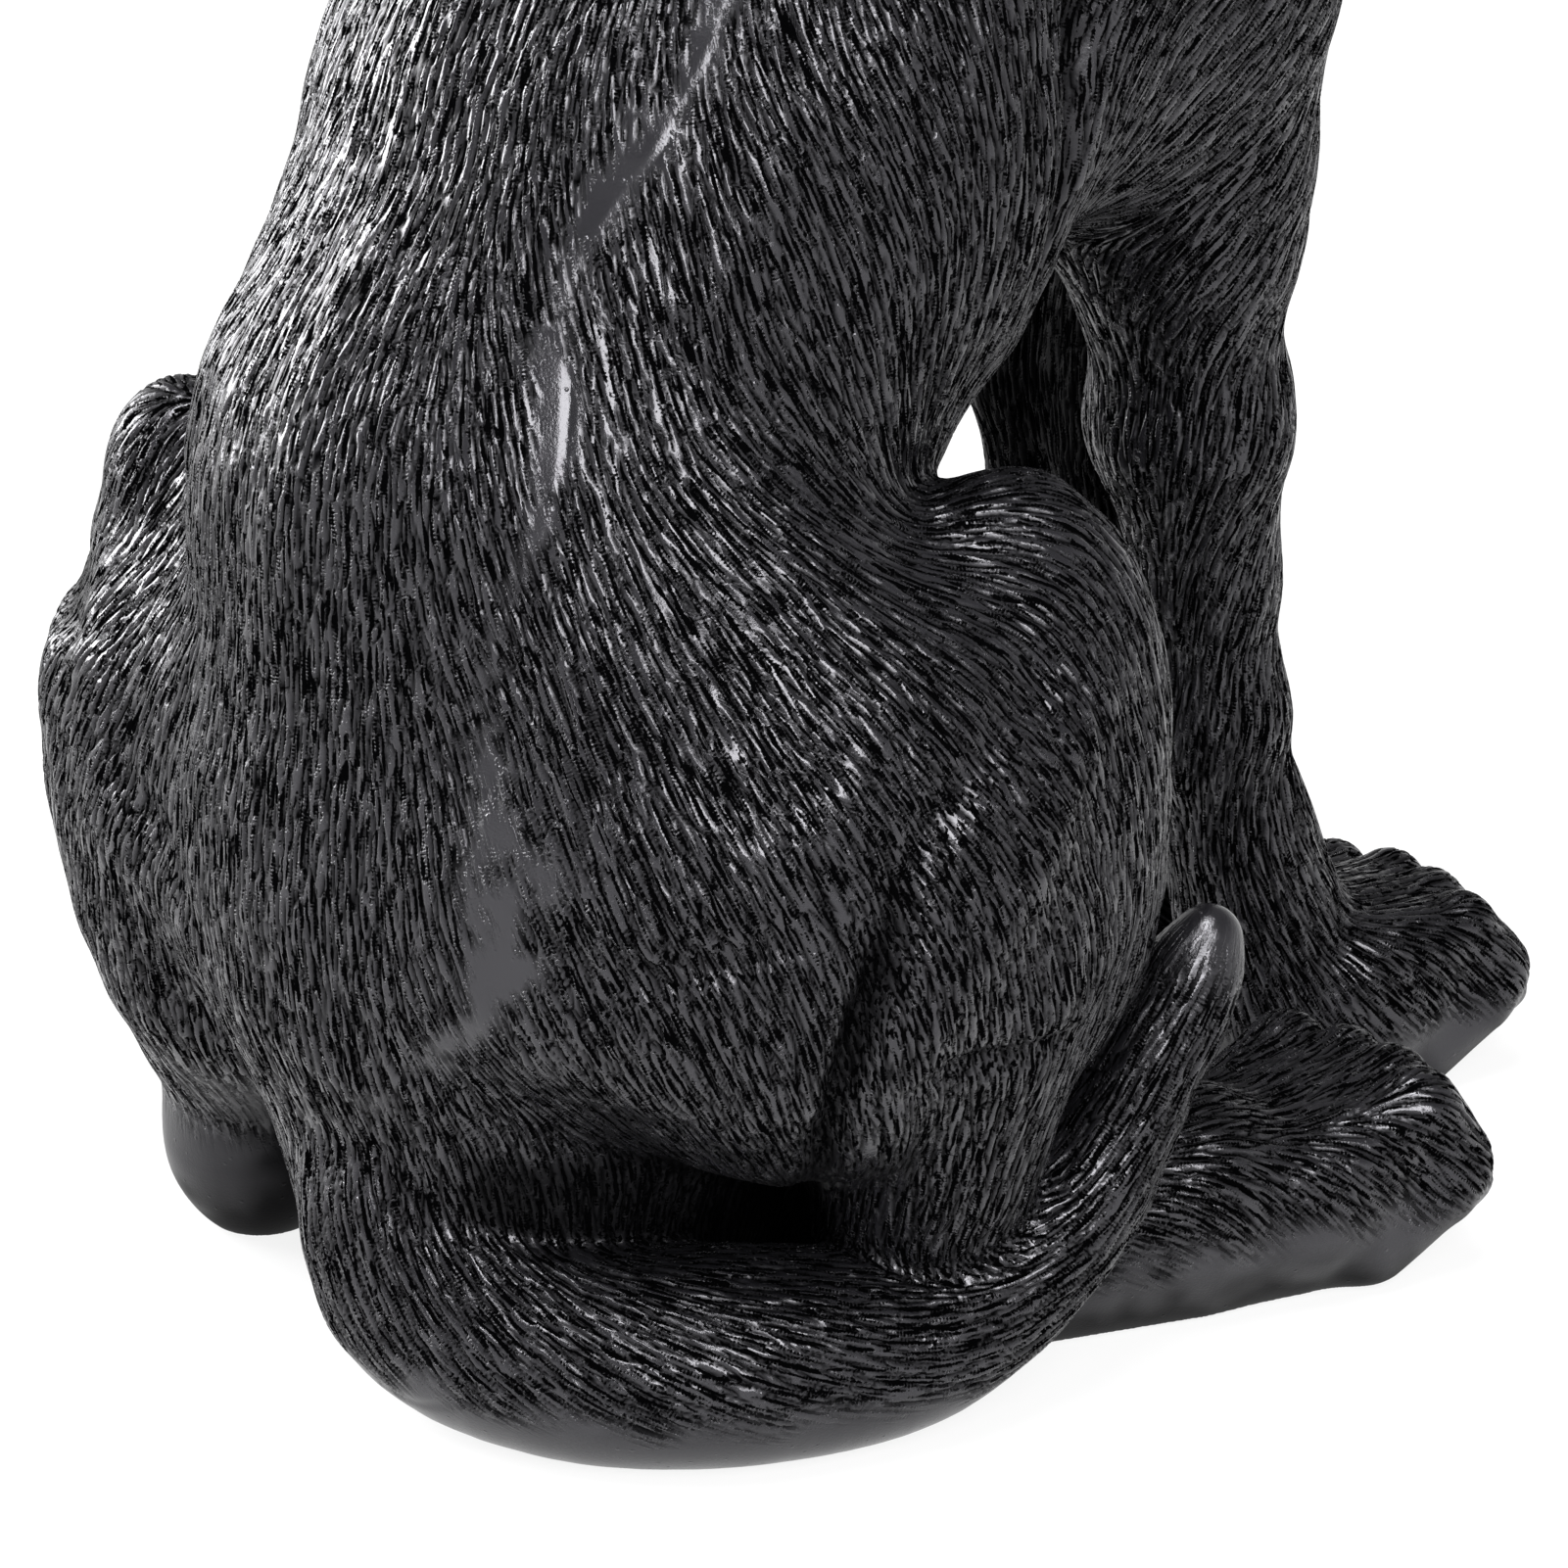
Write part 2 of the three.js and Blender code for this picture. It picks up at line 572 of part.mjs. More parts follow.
// A casting of clay, and the room that a neighbour leaves for it with a glue line.
function roomed(clay, cell) {
  const solid = clayCast(clay, cell);
  return { solid, room: clayCast(clay, cell, -GLUE_LINE).add(solid) };
}
const body = roomed(bodyClay, BODY_CELL);
const legs = SIDES.map((side) => roomed(legClay(side), LIMB_CELL));
const feet = SIDES.map((side) => roomed(footClay(side), LIMB_CELL));

const spigot = pinned(
  neckJoint.clone().addScaledVector(neckWay, -SPIGOT_REACH),
  neckJoint.clone().addScaledVector(neckWay, SPIGOT_REACH),
  SPIGOT_DIAMETER / 2,
);
const rodSpan = (side, share) => wrist(side).lerp(elbow(side), share);
const rods = SIDES.map((side) => pinned(rodSpan(side, -0.15), rodSpan(side, 1.35), pinRadius));
const footPins = SIDES.map((side) => pinned(
  heel(side),
  shankFoot(side).lerp(shankTop(side), 0.5),
  pinRadius,
));
const tailPin = pinned(tailPath.getPoint(0.45), at(-11, 55, 15), pinRadius);
const DOWEL_SHARES = [0.42, 0.68];
const dowels = SIDES.flatMap((side) => DOWEL_SHARES.map((share) => seamDowel(side, share)));

const vent = at(0, 50, 0);
const ventRadius = VENT_DIAMETER / 2;
const upTo = (z) => vent.clone().setZ(z);
const ventBore = bar(upTo(-1), upTo(RUMP_HEIGHT / 2), ventRadius);
const flangeRadius = ventRadius + PLUG_FLANGE;
const flangeTop = base + PLUG_FLANGE_THICKNESS + GLUE_LINE;
const flangeBore = bar(upTo(-1), upTo(flangeTop), flangeRadius + PIN_CLEARANCE);
const plugProfile = [
  [0, 0],
  [flangeRadius, 0],
  [flangeRadius, PLUG_FLANGE_THICKNESS],
  [ventRadius - PIN_CLEARANCE, PLUG_FLANGE_THICKNESS],
  [ventRadius - PIN_CLEARANCE, PLUG_LENGTH - 1],
  [ventRadius - PIN_CLEARANCE - 1, PLUG_LENGTH],
  [0, PLUG_LENGTH],
].map(([r, h]) => new THREE.Vector2(r, h));
const plug = solidOf(new THREE.LatheGeometry(plugProfile, ROUND_SIDES), posed(upTo(base), UP));

const legRoomBack = FORELEG_SET + 1.5 * FOREARM_RADIUS;
const legRoomBox = new THREE.BoxGeometry(4 * FORELEG_SPREAD, 3 * PAW_LENGTH, ELBOW_HEIGHT);
legRoomBox.translate(0, legRoomBack - 1.5 * PAW_LENGTH, halfGlue + ELBOW_HEIGHT / 2);
const legRoom = solidOf(legRoomBox);
const bores = [spigot, tailPin, ...rods, ...footPins, ...dowels].map((pin) => pin.bore);
const core = clayCast(coreClay, CORE_CELL, WALL);
const neckCut = above(neckJoint, neckWay, -halfGlue);
const shell = cut(body.solid.intersect(floorCut), core, neckCut, legRoom, ventBore, flangeBore, ...bores);

// A felt disc under a paw, and the recess that it is glued into.
function pad(spot) {
  const height = (z) => spot.clone().setZ(z);
  const radius = PAD_DIAMETER / 2;
  return {
    disc: bar(height(0), height(PAD_THICKNESS), radius),
    recess: bar(height(-1), height(PAD_THICKNESS + GLUE_LINE), radius + PIN_CLEARANCE),
  };
}

const eyeWay = (side) => at(side * 0.3, -0.92, 0.22).normalize();
const eyeBall = (side, radius) => {
  const lid = headClay.reach(head(side * 8, -6, -1), eyeWay(side));
  const centre = lid.addScaledVector(eyeWay(side), -EYE_DIAMETER * 0.26);
  const ball = new THREE.SphereGeometry(radius, ROUND_SIDES, ROUND_SIDES / 2);
  return solidOf(ball, posed(centre, eyeWay(side)));
};
const headVent = bar(neckJoint, skull.box.getCenter(at(0, 0, 0)), ventRadius);
const skullCore = clayCast(new Clay(1, [skull]), CORE_CELL, WALL + 2);
const sockets = SIDES.map((side) => eyeBall(side, EYE_DIAMETER / 2 + PIN_CLEARANCE));
const headSolid = clayCast(headClay, HEAD_CELL).intersect(above(neckJoint, neckWay, halfGlue));
const headCast = cut(headSolid, skullCore, spigot.bore, headVent, ...sockets);

// Nodes

const RESIN = { color: 0x17171a, roughness: 0.38, metalness: 0 };
const GLASS = { color: 0x2a1608, roughness: 0.05, metalness: 0 };
const STEEL = { color: 0xb9bcc0, roughness: 0.35, metalness: 1 };
const WOOD = { color: 0xb58a5a, roughness: 0.7, metalness: 0 };
const FELT = { color: 0x1d2a22, roughness: 0.95, metalness: 0 };
const RUBBER = { color: 0x202020, roughness: 0.8, metalness: 0 };

const dog = new THREE.Group();
function add(name, solid, finish) {
  const mesh = new THREE.Mesh(geometryOf(largest(solid)), new THREE.MeshStandardMaterial(finish));
  mesh.name = name;
  dog.add(mesh);
}

add("front_shell", shell.subtract(behindSeam(-halfGlue)), RESIN);
add("back_shell", shell.intersect(behindSeam(halfGlue)), RESIN);
add("head", headCast, RESIN);
add("neck_spigot", spigot.pin, WOOD);
add("seat_plug", plug, RUBBER);
add("leg_web", cut(clayCast(webClay, LIMB_CELL), body.room, ...legs.map((leg) => leg.room)), RESIN);
const tailCast = clayCast(tailClay, TAIL_CELL).intersect(floorCut);
add("tail", cut(tailCast, body.room, feet[0].room, tailPin.bore), RESIN);
add("tail_pin", tailPin.pin, STEEL);
SIDES.forEach((side, n) => {
  const name = side === RIGHT ? "right" : "left";
  const frontPad = pad(frontPaw(side));
  const hindPad = pad(hindPaw(side));
  const elbowCut = above(elbow(side), UP, -halfGlue);
  const leg = cut(legs[n].solid.intersect(floorCut), elbowCut, rods[n].bore, frontPad.recess);
  const foot = cut(feet[n].solid.intersect(floorCut), body.room, footPins[n].bore, hindPad.recess);
  add(name + "_front_leg", leg, RESIN);
  add(name + "_leg_rod", rods[n].pin, STEEL);
  add(name + "_front_pad", frontPad.disc, FELT);
  add(name + "_hind_foot", foot, RESIN);
  add(name + "_foot_pin", footPins[n].pin, STEEL);
  add(name + "_hind_pad", hindPad.disc, FELT);
  add(name + "_eye", eyeBall(side, EYE_DIAMETER / 2), GLASS);
  add(name + "_upper_dowel", dowels[2 * n + 1].pin, WOOD);
  add(name + "_lower_dowel", dowels[2 * n].pin, WOOD);
});

const middle = new THREE.Box3().setFromObject(dog).getCenter(at(0, 0, 0));
dog.position.set(-middle.x, -middle.y, 0);

export default dog;
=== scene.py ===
"""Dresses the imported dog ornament: castings with sculpted fur, eyes, felt pads and fixings."""

import itertools
import json
import logging
import math
from collections.abc import Iterator
from dataclasses import dataclass, field
from enum import Enum

import bmesh
import bpy
import numpy as np
from mathutils import Matrix, Vector, noise
from mathutils.bvhtree import BVHTree

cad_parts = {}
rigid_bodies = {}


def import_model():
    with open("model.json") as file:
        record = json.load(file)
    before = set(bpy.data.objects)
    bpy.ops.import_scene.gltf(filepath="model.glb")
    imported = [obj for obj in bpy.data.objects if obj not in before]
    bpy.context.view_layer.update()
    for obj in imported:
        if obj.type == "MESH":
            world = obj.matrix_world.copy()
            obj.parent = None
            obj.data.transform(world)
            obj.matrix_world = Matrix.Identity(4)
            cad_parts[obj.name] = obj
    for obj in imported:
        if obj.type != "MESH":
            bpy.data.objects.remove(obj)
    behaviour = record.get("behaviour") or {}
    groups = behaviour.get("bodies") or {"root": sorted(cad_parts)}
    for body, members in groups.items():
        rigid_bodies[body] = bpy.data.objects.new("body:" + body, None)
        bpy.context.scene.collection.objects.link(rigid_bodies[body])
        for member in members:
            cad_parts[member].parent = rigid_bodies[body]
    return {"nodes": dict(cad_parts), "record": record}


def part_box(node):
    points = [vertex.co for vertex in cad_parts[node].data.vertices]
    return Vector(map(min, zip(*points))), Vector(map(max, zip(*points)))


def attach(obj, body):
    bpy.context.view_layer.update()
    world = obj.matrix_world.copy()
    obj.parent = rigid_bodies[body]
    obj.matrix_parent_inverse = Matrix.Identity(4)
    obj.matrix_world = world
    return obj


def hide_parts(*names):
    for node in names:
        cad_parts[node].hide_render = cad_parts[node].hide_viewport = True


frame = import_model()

LOG = logging.getLogger("dog")
MM = 0.001
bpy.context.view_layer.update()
BASE_HEIGHT = 0.5
DIAGONAL = 0.707
BALL_CUTS = 4
CONE_SIDES = 32
NOISE_GAIN = 1.6
TAIL_FALL = 0.75
Point = tuple[float, float, float]
Cell = tuple[int, int, int]


class Side(Enum):
    """A side of the dog, and which way it lies on X."""

    RIGHT = -1
    LEFT = 1

    @property
    def word(self) -> str:
        """The side's name as the CAD nodes write it."""
        return self.name.lower()


class Region(Enum):
    """The castings, the large ones cut into parts: a part's name and its CAD node."""

    RIGHT_FLANK = ("right_flank", "front_shell")
    LEFT_FLANK = ("left_flank", "front_shell")
    RIGHT_HAUNCH = ("right_haunch", "front_shell")
    LEFT_HAUNCH = ("left_haunch", "front_shell")
    CHEST = ("chest", "front_shell")
    BACK = ("back", "back_shell")
    HEAD = ("head", "head")
    NECK = ("neck", "head")
    TAIL = ("tail", "tail")
    WEB = ("web", "leg_web")
    RIGHT_LEG = ("right_leg", "right_front_leg")
    LEFT_LEG = ("left_leg", "left_front_leg")
    RIGHT_FOOT = ("right_foot", "right_hind_foot")
    LEFT_FOOT = ("left_foot", "left_hind_foot")

    @property
    def word(self) -> str:
        """The part's name."""
        return self.value[0]

    @property
    def node(self) -> str:
        """The CAD node that the part belongs to."""
        return self.value[1]


# Clay forms, in millimetres from the dog's own origin


@dataclass(frozen=True)
class Lump:
    """An ellipsoid, leaned about X and swung about Z, in degrees."""

    centre: Point
    radii: Point
    lean: float = 0.0
    swing: float = 0.0

    def turn(self) -> np.ndarray:
        """The turn from the lump's own axes to the dog's, as a 3 by 3 matrix."""
        swung = Matrix.Rotation(math.radians(self.swing), 3, "Z")
        return np.array(swung @ Matrix.Rotation(math.radians(self.lean), 3, "X"), np.float32)

    def distance(self, points: np.ndarray) -> np.ndarray:
        """How far points lie outside the lump.

        Args:
            points: N by 3 places.

        Returns:
            N distances, negative inside.
        """
        scaled = (points - np.float32(self.centre)) @ self.turn() / np.float32(self.radii)
        reach = np.sqrt((scaled * scaled).sum(1)) + np.float32(1e-6)
        slope = np.sqrt(((scaled / np.float32(self.radii)) ** 2).sum(1)) + np.float32(1e-9)
        return reach * (reach - 1) / slope

    def box(self) -> tuple[np.ndarray, np.ndarray]:
        """The corners of a box that holds the lump."""
        return np.array(self.centre) - max(self.radii), np.array(self.centre) + max(self.radii)

    def add_blank(self) -> None:
        """Adds the lump as a ball of its size and place."""
        bpy.ops.mesh.primitive_ico_sphere_add(
            subdivisions=BALL_CUTS,
            radius=1.0,
            location=[c * MM for c in self.centre],
            rotation=Matrix(self.turn().tolist()).to_euler(),
            scale=[r * MM for r in self.radii],
        )


@dataclass(frozen=True)
class Limb:
    """A round bar that tapers from one ball to another."""

    start: Point
    end: Point
    start_radius: float
    end_radius: float

    def distance(self, points: np.ndarray) -> np.ndarray:
        """How far points lie outside the limb.

        Args:
            points: N by 3 places.

        Returns:
            N distances, negative inside.
        """
        along = np.float32(self.end) - np.float32(self.start)
        away = points - np.float32(self.start)
        share = np.clip(away @ along / (along @ along), 0, 1)
        away = away - share[:, None] * along
        radius = self.start_radius + (self.end_radius - self.start_radius) * share
        return np.sqrt((away * away).sum(1)) - radius

    def box(self) -> tuple[np.ndarray, np.ndarray]:
        """The corners of a box that holds the limb."""
        ends, radius = np.array([self.start, self.end]), max(self.start_radius, self.end_radius)
        return ends.min(0) - radius, ends.max(0) + radius

    def add_blank(self) -> None:
        """Adds the limb as a cone with a ball at each end."""
        start, end = Vector(self.start) * MM, Vector(self.end) * MM
        for place, radius in ((start, self.start_radius), (end, self.end_radius)):
            bpy.ops.mesh.primitive_ico_sphere_add(
                subdivisions=BALL_CUTS, radius=radius * MM, location=place
            )
        along = end - start
        bpy.ops.mesh.primitive_cone_add(
            vertices=CONE_SIDES,
            radius1=self.start_radius * MM,
            radius2=self.end_radius * MM,
            depth=along.length,
            location=(start + end) / 2,
            rotation=along.to_track_quat("Z", "Y").to_euler(),
        )


@dataclass(frozen=True)
class Clay:
    """Forms joined with fillets of about the blend's size."""

    blend: float
    forms: tuple

    def distance(self, points: np.ndarray) -> np.ndarray:
        """How far points lie outside the clay.

        Args:
            points: N by 3 places.

        Returns:
            N distances, negative inside.
        """
        nearest = self.forms[0].distance(points)
        for form in self.forms[1:]:
            other = form.distance(points)
            near = np.maximum(self.blend - np.abs(nearest - other), 0)
            nearest = np.minimum(nearest, other) - near * near / np.float32(4 * self.blend)
        return nearest

    def box(self) -> tuple[np.ndarray, np.ndarray]:
        """The corners of a box that holds the clay."""
        corners = [form.box() for form in self.forms]
        return np.min([c[0] for c in corners], 0), np.max([c[1] for c in corners], 0)

    def near(self, points: np.ndarray, margin: float) -> np.ndarray:
        """The distance where it is below a margin, and the margin elsewhere.

        Args:
            points: N by 3 places.
            margin: The largest distance that matters.

        Returns:
            N distances.
        """
        low, high = self.box()
        found = np.full(len(points), margin, np.float32)
        rows = np.flatnonzero(((points > low - margin) & (points < high + margin)).all(1))
        if len(rows):
            found[rows] = np.minimum(self.distance(points[rows]), margin)
        return found

    def add_blank(self) -> None:
        """Adds every form's blank."""
        for form in self.forms:
            form.add_blank()


def smooth_path(points: list[Point], steps: int) -> np.ndarray:
    """A smooth line through points.

    Args:
        points: The places that it passes.
        steps: How many stretches it is cut into.

    Returns:
        steps + 1 by 3 places, evenly spaced in the parameter.
    """
    knots = np.array(points, float)
    padded = np.vstack([2 * knots[0] - knots[1], knots, 2 * knots[-1] - knots[-2]])
    made = []
    for share in np.linspace(0, len(knots) - 1, steps + 1):
        n = min(int(share), len(knots) - 2)
        t = share - n
        a, b, c, d = padded[n : n + 4]
        made.append(b + 0.5 * t * (c - a + t * (2 * a - 5 * b + 4 * c - d + t * (3 * (b - c) + d - a))))
    return np.array(made)


def plus(a: Point, b: Point) -> Point:
    """The sum of two places."""
    return (a[0] + b[0], a[1] + b[1], a[2] + b[2])


@dataclass
class DogForm:
    """The dog's shape as clay, from the sizes that the castings have."""

    foreleg_spread: float = 16.0
    foreleg_set: float = -57.0
    elbow_height: float = 126.0
    left_elbow_lead: float = 13.0
    right_elbow_turn: float = 4.0
    left_wrist_lead: float = 5.0
    left_paw_lead: float = 3.0
    forearm_radius: float = 13.0
    wrist_radius: float = 8.6
    wrist_height: float = 60.0
    paw_width: float = 34.0
    paw_length: float = 52.0
    front_paw_height: float = 33.0
    hind_paw_height: float = 29.0
    knuckle_height: float = 28.0
    toes: int = 4
    haunch_foot: float = 35.0
    head_height: float = 266.0
    head_set: float = -44.0
    tail_path: list[Point] = field(
        default_factory=lambda: [
            (-2, 60, 40),
            (-6, 65, 19),
            (-24, 62, 13),
            (-41, 49, 12.5),
            (-51, 28, 12.5),
            (-57, 9, 24),
            (-61, -4, 45),
            (-63.5, -10, 57),
        ]
    )
    tail_radii: tuple[float, ...] = (16.5, 14.6, 12.5, 11.9, 10.2, 7.8, 6.0, 3.1)
    tail_steps: int = 28

    def lead(self, side: Side, value: float) -> float:
        """A length that only the left leg is set forward by."""
        return value if side is Side.LEFT else 0.0

    def elbow(self, side: Side) -> Point:
        """The middle of an elbow.

        Args:
            side: The side of the dog.

        Returns:
            Its place.
        """
        lead = self.lead(side, self.left_elbow_lead)
        turned = 0.0 if side is Side.LEFT else self.right_elbow_turn
        across = side.value * self.foreleg_spread - turned
        return (across, self.foreleg_set - lead + turned, self.elbow_height)

    def wrist(self, side: Side) -> Point:
        """The middle of a wrist."""
        lead = self.lead(side, self.left_wrist_lead)
        return (side.value * self.foreleg_spread, self.foreleg_set - 7 - lead, self.wrist_height)

    def heel(self, side: Side) -> Point:
        """The middle of a heel."""
        return (-34.0, 18.0, 13.5) if side is Side.RIGHT else (50.0, 47.0, 13.5)

    def hind_paw(self, side: Side) -> Point:
        """The floor under the middle of a hind paw."""
        return (54.0 * side.value, -40.0, 0.0)

    def front_paw(self, side: Side) -> Point:
        """The floor under the middle of a front paw."""
        lead = self.lead(side, self.left_paw_lead)
        return (side.value * (self.foreleg_spread + 3), self.foreleg_set - 35 - lead, 0.0)

    def trunk(self) -> Clay:
        """Rump, loin, ribs, chest and shoulders.

        Returns:
            The clay.
        """
        forms = [
            Lump((0, 44, 70), (44, 43, 52)),
            Lump((0, 40, 113), (44, 43, 40), 14),
            Lump((0, 14, 153), (49, 44, 56), 40),
            Lump((0, 43, 24), (31, 30, 30)),
            Limb((0, -16, 184), (0, -34, 254), 38, 29),
            Lump((0, -30, 172), (37, 38, 40)),
            Lump((0, -48, 166), (28, 27, 32)),
            Lump((0, -2, 182), (37, 38, 24), 40),
        ]
        for side in Side:
            s = side.value
            forms.append(Lump((25 * s, -34, 176), (19, 30, 36)))
            elbow = plus(self.elbow(side), (2 * s, 3, 5))
            arm = 17.5 if side is Side.RIGHT else 19.0
            forms.append(Limb((23 * s, -47, 165), elbow, arm, self.forearm_radius - 0.5))
        return Clay(13, tuple(forms))

    def haunch(self, side: Side) -> Clay:
        """A thigh with its knee and shank.

        Args:
            side: The side of the dog.

        Returns:
            The clay.
        """
        s = side.value
        top, foot = (115, 33) if side is Side.RIGHT else (124, self.haunch_foot)
        middle, half = (top + foot) / 2, (top - foot) / 2
        forms = [
            Lump((40 * s, 32, middle), (34, 43, half)),
            Lump((49.5 * s, 9.5, 92), (15, 16, 25)),
            Limb((47 * s, 12, 61), plus(self.heel(side), (0, 0, 12)), 17, 12),
        ]
        if side is Side.LEFT:
            forms.append(Lump((42, 48, 64), (28, 29, 44)))
            corner = Lump((45, 60, 108), (9, 9.5, 11))
            return Clay(6, (Clay(12, tuple(forms)), corner))
        shank = Limb((-60, 27, 66), (-43, 22, 15), 14.5, 12.5)
        return Clay(3.5, (Clay(12, tuple(forms)), shank))

    def paw(self, middle: Point, swing: float, height: float) -> list:
        """A paw's pad, and its toes with their knuckles.

        Args:
            middle: The floor under the paw's middle.
            swing: How far it turns about Z, in degrees.
            height: The height of its instep.

        Returns:
            The forms.
        """
        turn = Matrix.Rotation(math.radians(swing), 3, "Z")

        def spot(x: float, y: float, z: float) -> Point:
            """A place on the paw, from its own middle."""
            turned = turn @ Vector((x, y, 0))
            return (turned.x + middle[0], turned.y + middle[1], z)

        wide, long, half = self.paw_width / self.toes, self.paw_length, self.paw_width / 2
        pad = Lump(spot(0, 3, height * 0.42), (half, long / 2 - 5, height * 0.45), 0, swing)
        sole = Lump(spot(0, 2, 6), (half * 0.6, long / 2 - 5, 9), 0, swing)
        pads, toes = [], []
        for n in range(self.toes):
            across = (n - (self.toes - 1) / 2) * wide
            back = abs(across) * 0.35 - long * 0.25
            knuckle = spot(across * 0.96, back, self.knuckle_height - wide * 0.66)
            front = abs(across) * 0.5 - long * 0.39
            tip = spot(across * 1.08, front, self.knuckle_height * 0.55)
            under, heel = spot(across * 1.05, front + 2.5, 11), spot(across * 0.85, front + 11, 6)
            pads.append(Limb(under, heel, wide * 0.55, wide * 0.64))
            instep = spot(across * 0.8, long * 0.16, height * 0.6)
            toes.append(Limb(instep, knuckle, wide * 0.6, wide * 0.62))
            toes.append(Limb(knuckle, tip, wide * 0.62, wide * 0.6))
            claw = spot(across * 1.12, front - 3.4, self.knuckle_height * 0.42)
            toes.append(Limb(plus(tip, (0, 0, -1)), claw, 3.2, 2.3))
        return [pad, sole, *pads, Clay(0.7, tuple(toes))]

    def leg(self, side: Side) -> Clay:
        """A front leg and its paw.

        Args:
            side: The side of the dog.

        Returns:
            The clay.
        """
        s, wrist = side.value, self.wrist(side)
        instep = (s * (self.foreleg_spread + 1), wrist[1] - 14, self.front_paw_height * 0.55)
        thin, thick = self.wrist_radius, self.forearm_radius
        elbow = self.elbow(side)
        calf = ((2 * elbow[0] + wrist[0]) / 3, (2 * elbow[1] + wrist[1]) / 3 + 1, 103.0)
        shin = ((elbow[0] + 3 * wrist[0]) / 4, (elbow[1] + 3 * wrist[1]) / 4, 79.0)
        forms = [
            Limb(plus(elbow, (0, 2, 10)), calf, thick - 0.8, thick - 0.2),
            Limb(calf, shin, thick - 0.3, thin + 0.4),
            Limb(shin, wrist, thin + 0.4, thin),
            Lump(wrist, (thin + 1.2, thin + 1.4, 12)),
            Limb(wrist, instep, thin, thin + 4),
            *self.paw(self.front_paw(side), 4 * s, self.front_paw_height),
        ]
        return Clay(4, tuple(forms))

    def foot(self, side: Side) -> Clay:
        """A hind foot from the heel to the toes.

        Args:
            side: The side of the dog.

        Returns:
            The clay.
        """
        s, paw = side.value, self.hind_paw(side)
        forms = [
            Limb(self.heel(side), plus(paw, (-4 * s, 20, 15)), 13, 15),
            Limb(plus(self.heel(side), (0, 0, -7)), plus(paw, (-4 * s, 20, 7)), 8, 9.5),
            *self.paw(paw, 8 * s, self.hind_paw_height),
        ]
        return Clay(5, tuple(forms))

    def web(self) -> Clay:
        """The web between the front legs."""
        low = Lump((0, self.foreleg_set - 6, self.elbow_height - 22), (12, 8, 26))
        return Clay(4, (low, Lump((2, self.foreleg_set - 9, self.elbow_height + 8), (11, 10, 17))))

    def tail_radius(self, share: float) -> float:
        """The tail's radius at a share of its path."""
        return float(np.interp(share, np.linspace(0, 1, len(self.tail_radii)), self.tail_radii))

    def tail_line(self) -> np.ndarray:
        """The middle of the tail, from its root to its tip."""
        return smooth_path(self.tail_path, self.tail_steps)

    def tail(self) -> Clay:
        """The tail as a chain of short limbs.

        Returns:
            The clay.
        """
        line = [tuple(p) for p in self.tail_line()]
        shares = np.linspace(0, 1, len(line))
        radii = [self.tail_radius(share) for share in shares]
        chain = zip(line, line[1:], radii, radii[1:])
        return Clay(4, tuple(Limb(*link) for link in chain))

    def head_spot(self, x: float, y: float, z: float) -> Point:
        """A place on the head, from the middle of the skull."""
        return (x, self.head_set + y, self.head_height + z)

    def head(self) -> Clay:
        """Skull, muzzle, jaw, nose, brows, cheeks and ears.

        Returns:
            The clay.
        """
        at = self.head_spot
        soft = [
            Lump(at(0, 0, 0), (32, 33, 32)),
            Limb((0, -16, 184), (0, -34, 254), 38, 29),
            Limb(at(0, -18, -7), at(0, -50, -10), 24, 18),
            Limb(at(0, -14, -22), at(0, -48, -26), 15, 10),
        ]
        ears = []
        for side in Side:
            s = side.value
            soft.append(Lump(at(17 * s, -12, -14), (15, 20, 18)))
            soft.append(Lump(at(12 * s, -25, 11), (11, 9, 8)))
            soft.append(Lump(at(9 * s, -49, -17), (12, 20, 15)))
            ears.append(Lump(at(29 * s, 4, 6), (8, 14, 12), 0, 10 * s))
            ears.append(Lump(at(35 * s, 3, -14), (6.5, 15, 26), -6, 14 * s))
        nose = Lump(at(0, -65, -3), (10, 7, 7.5))
        return Clay(5, (Clay(9, tuple(soft)), Clay(5, tuple(ears)), nose))

    def groups(self) -> dict[str, Clay]:
        """The clay of each part of the dog by its name.

        Returns:
            Each part's clay.
        """
        made = {"trunk": self.trunk(), "head": self.head()}
        for side in Side:
            made[side.word + "_haunch"] = self.haunch(side)
            made[side.word + "_leg"] = self.leg(side)
            made[side.word + "_foot"] = self.foot(side)
        made["web"] = self.web()
        made["tail"] = self.tail()
        return made


# How wide the fillet is where each part meets what is already there
CREASES: dict[str, float] = {
    "head": 9.0,
    "right_haunch": 3.5,
    "left_haunch": 4.0,
    "right_leg": 12.0,
    "left_leg": 6.0,
    "right_foot": 5.0,
    "left_foot": 5.0,
    "web": 4.0,
    "tail": 1.6,
}
HAUNCH_MERGE = 20.0
MERGE_BACK = (15, 50)
MERGE_HEIGHT = (36, 64)
LEFT_MERGE_SHARE = 0.5
LEFT_MERGE_END = (92, 116)


def soft_step(low: float, high: float, values: np.ndarray) -> np.ndarray:
    """A smooth rise from 0 at low to 1 at high."""
    t = np.clip((values - low) / (high - low), 0, 1)
    return t * t * (3 - 2 * t)


def crease_at(name: str, points: np.ndarray) -> np.ndarray:
    """The fillet's width at points: the haunches flow into the back and stay creased at the belly.

    Args:
        name: The part that is joined on.
        points: N by 3 places in millimetres.

    Returns:
        N widths.
    """
    width = np.full(len(points), CREASES[name], np.float32)
    if name.endswith("haunch"):
        merge = soft_step(*MERGE_BACK, points[:, 1]) * soft_step(*MERGE_HEIGHT, points[:, 2])
        if name.startswith(Side.LEFT.word):
            merge = merge * LEFT_MERGE_SHARE * (1 - soft_step(*LEFT_MERGE_END, points[:, 2]))
        width = width + np.float32(HAUNCH_MERGE) * merge
    return width


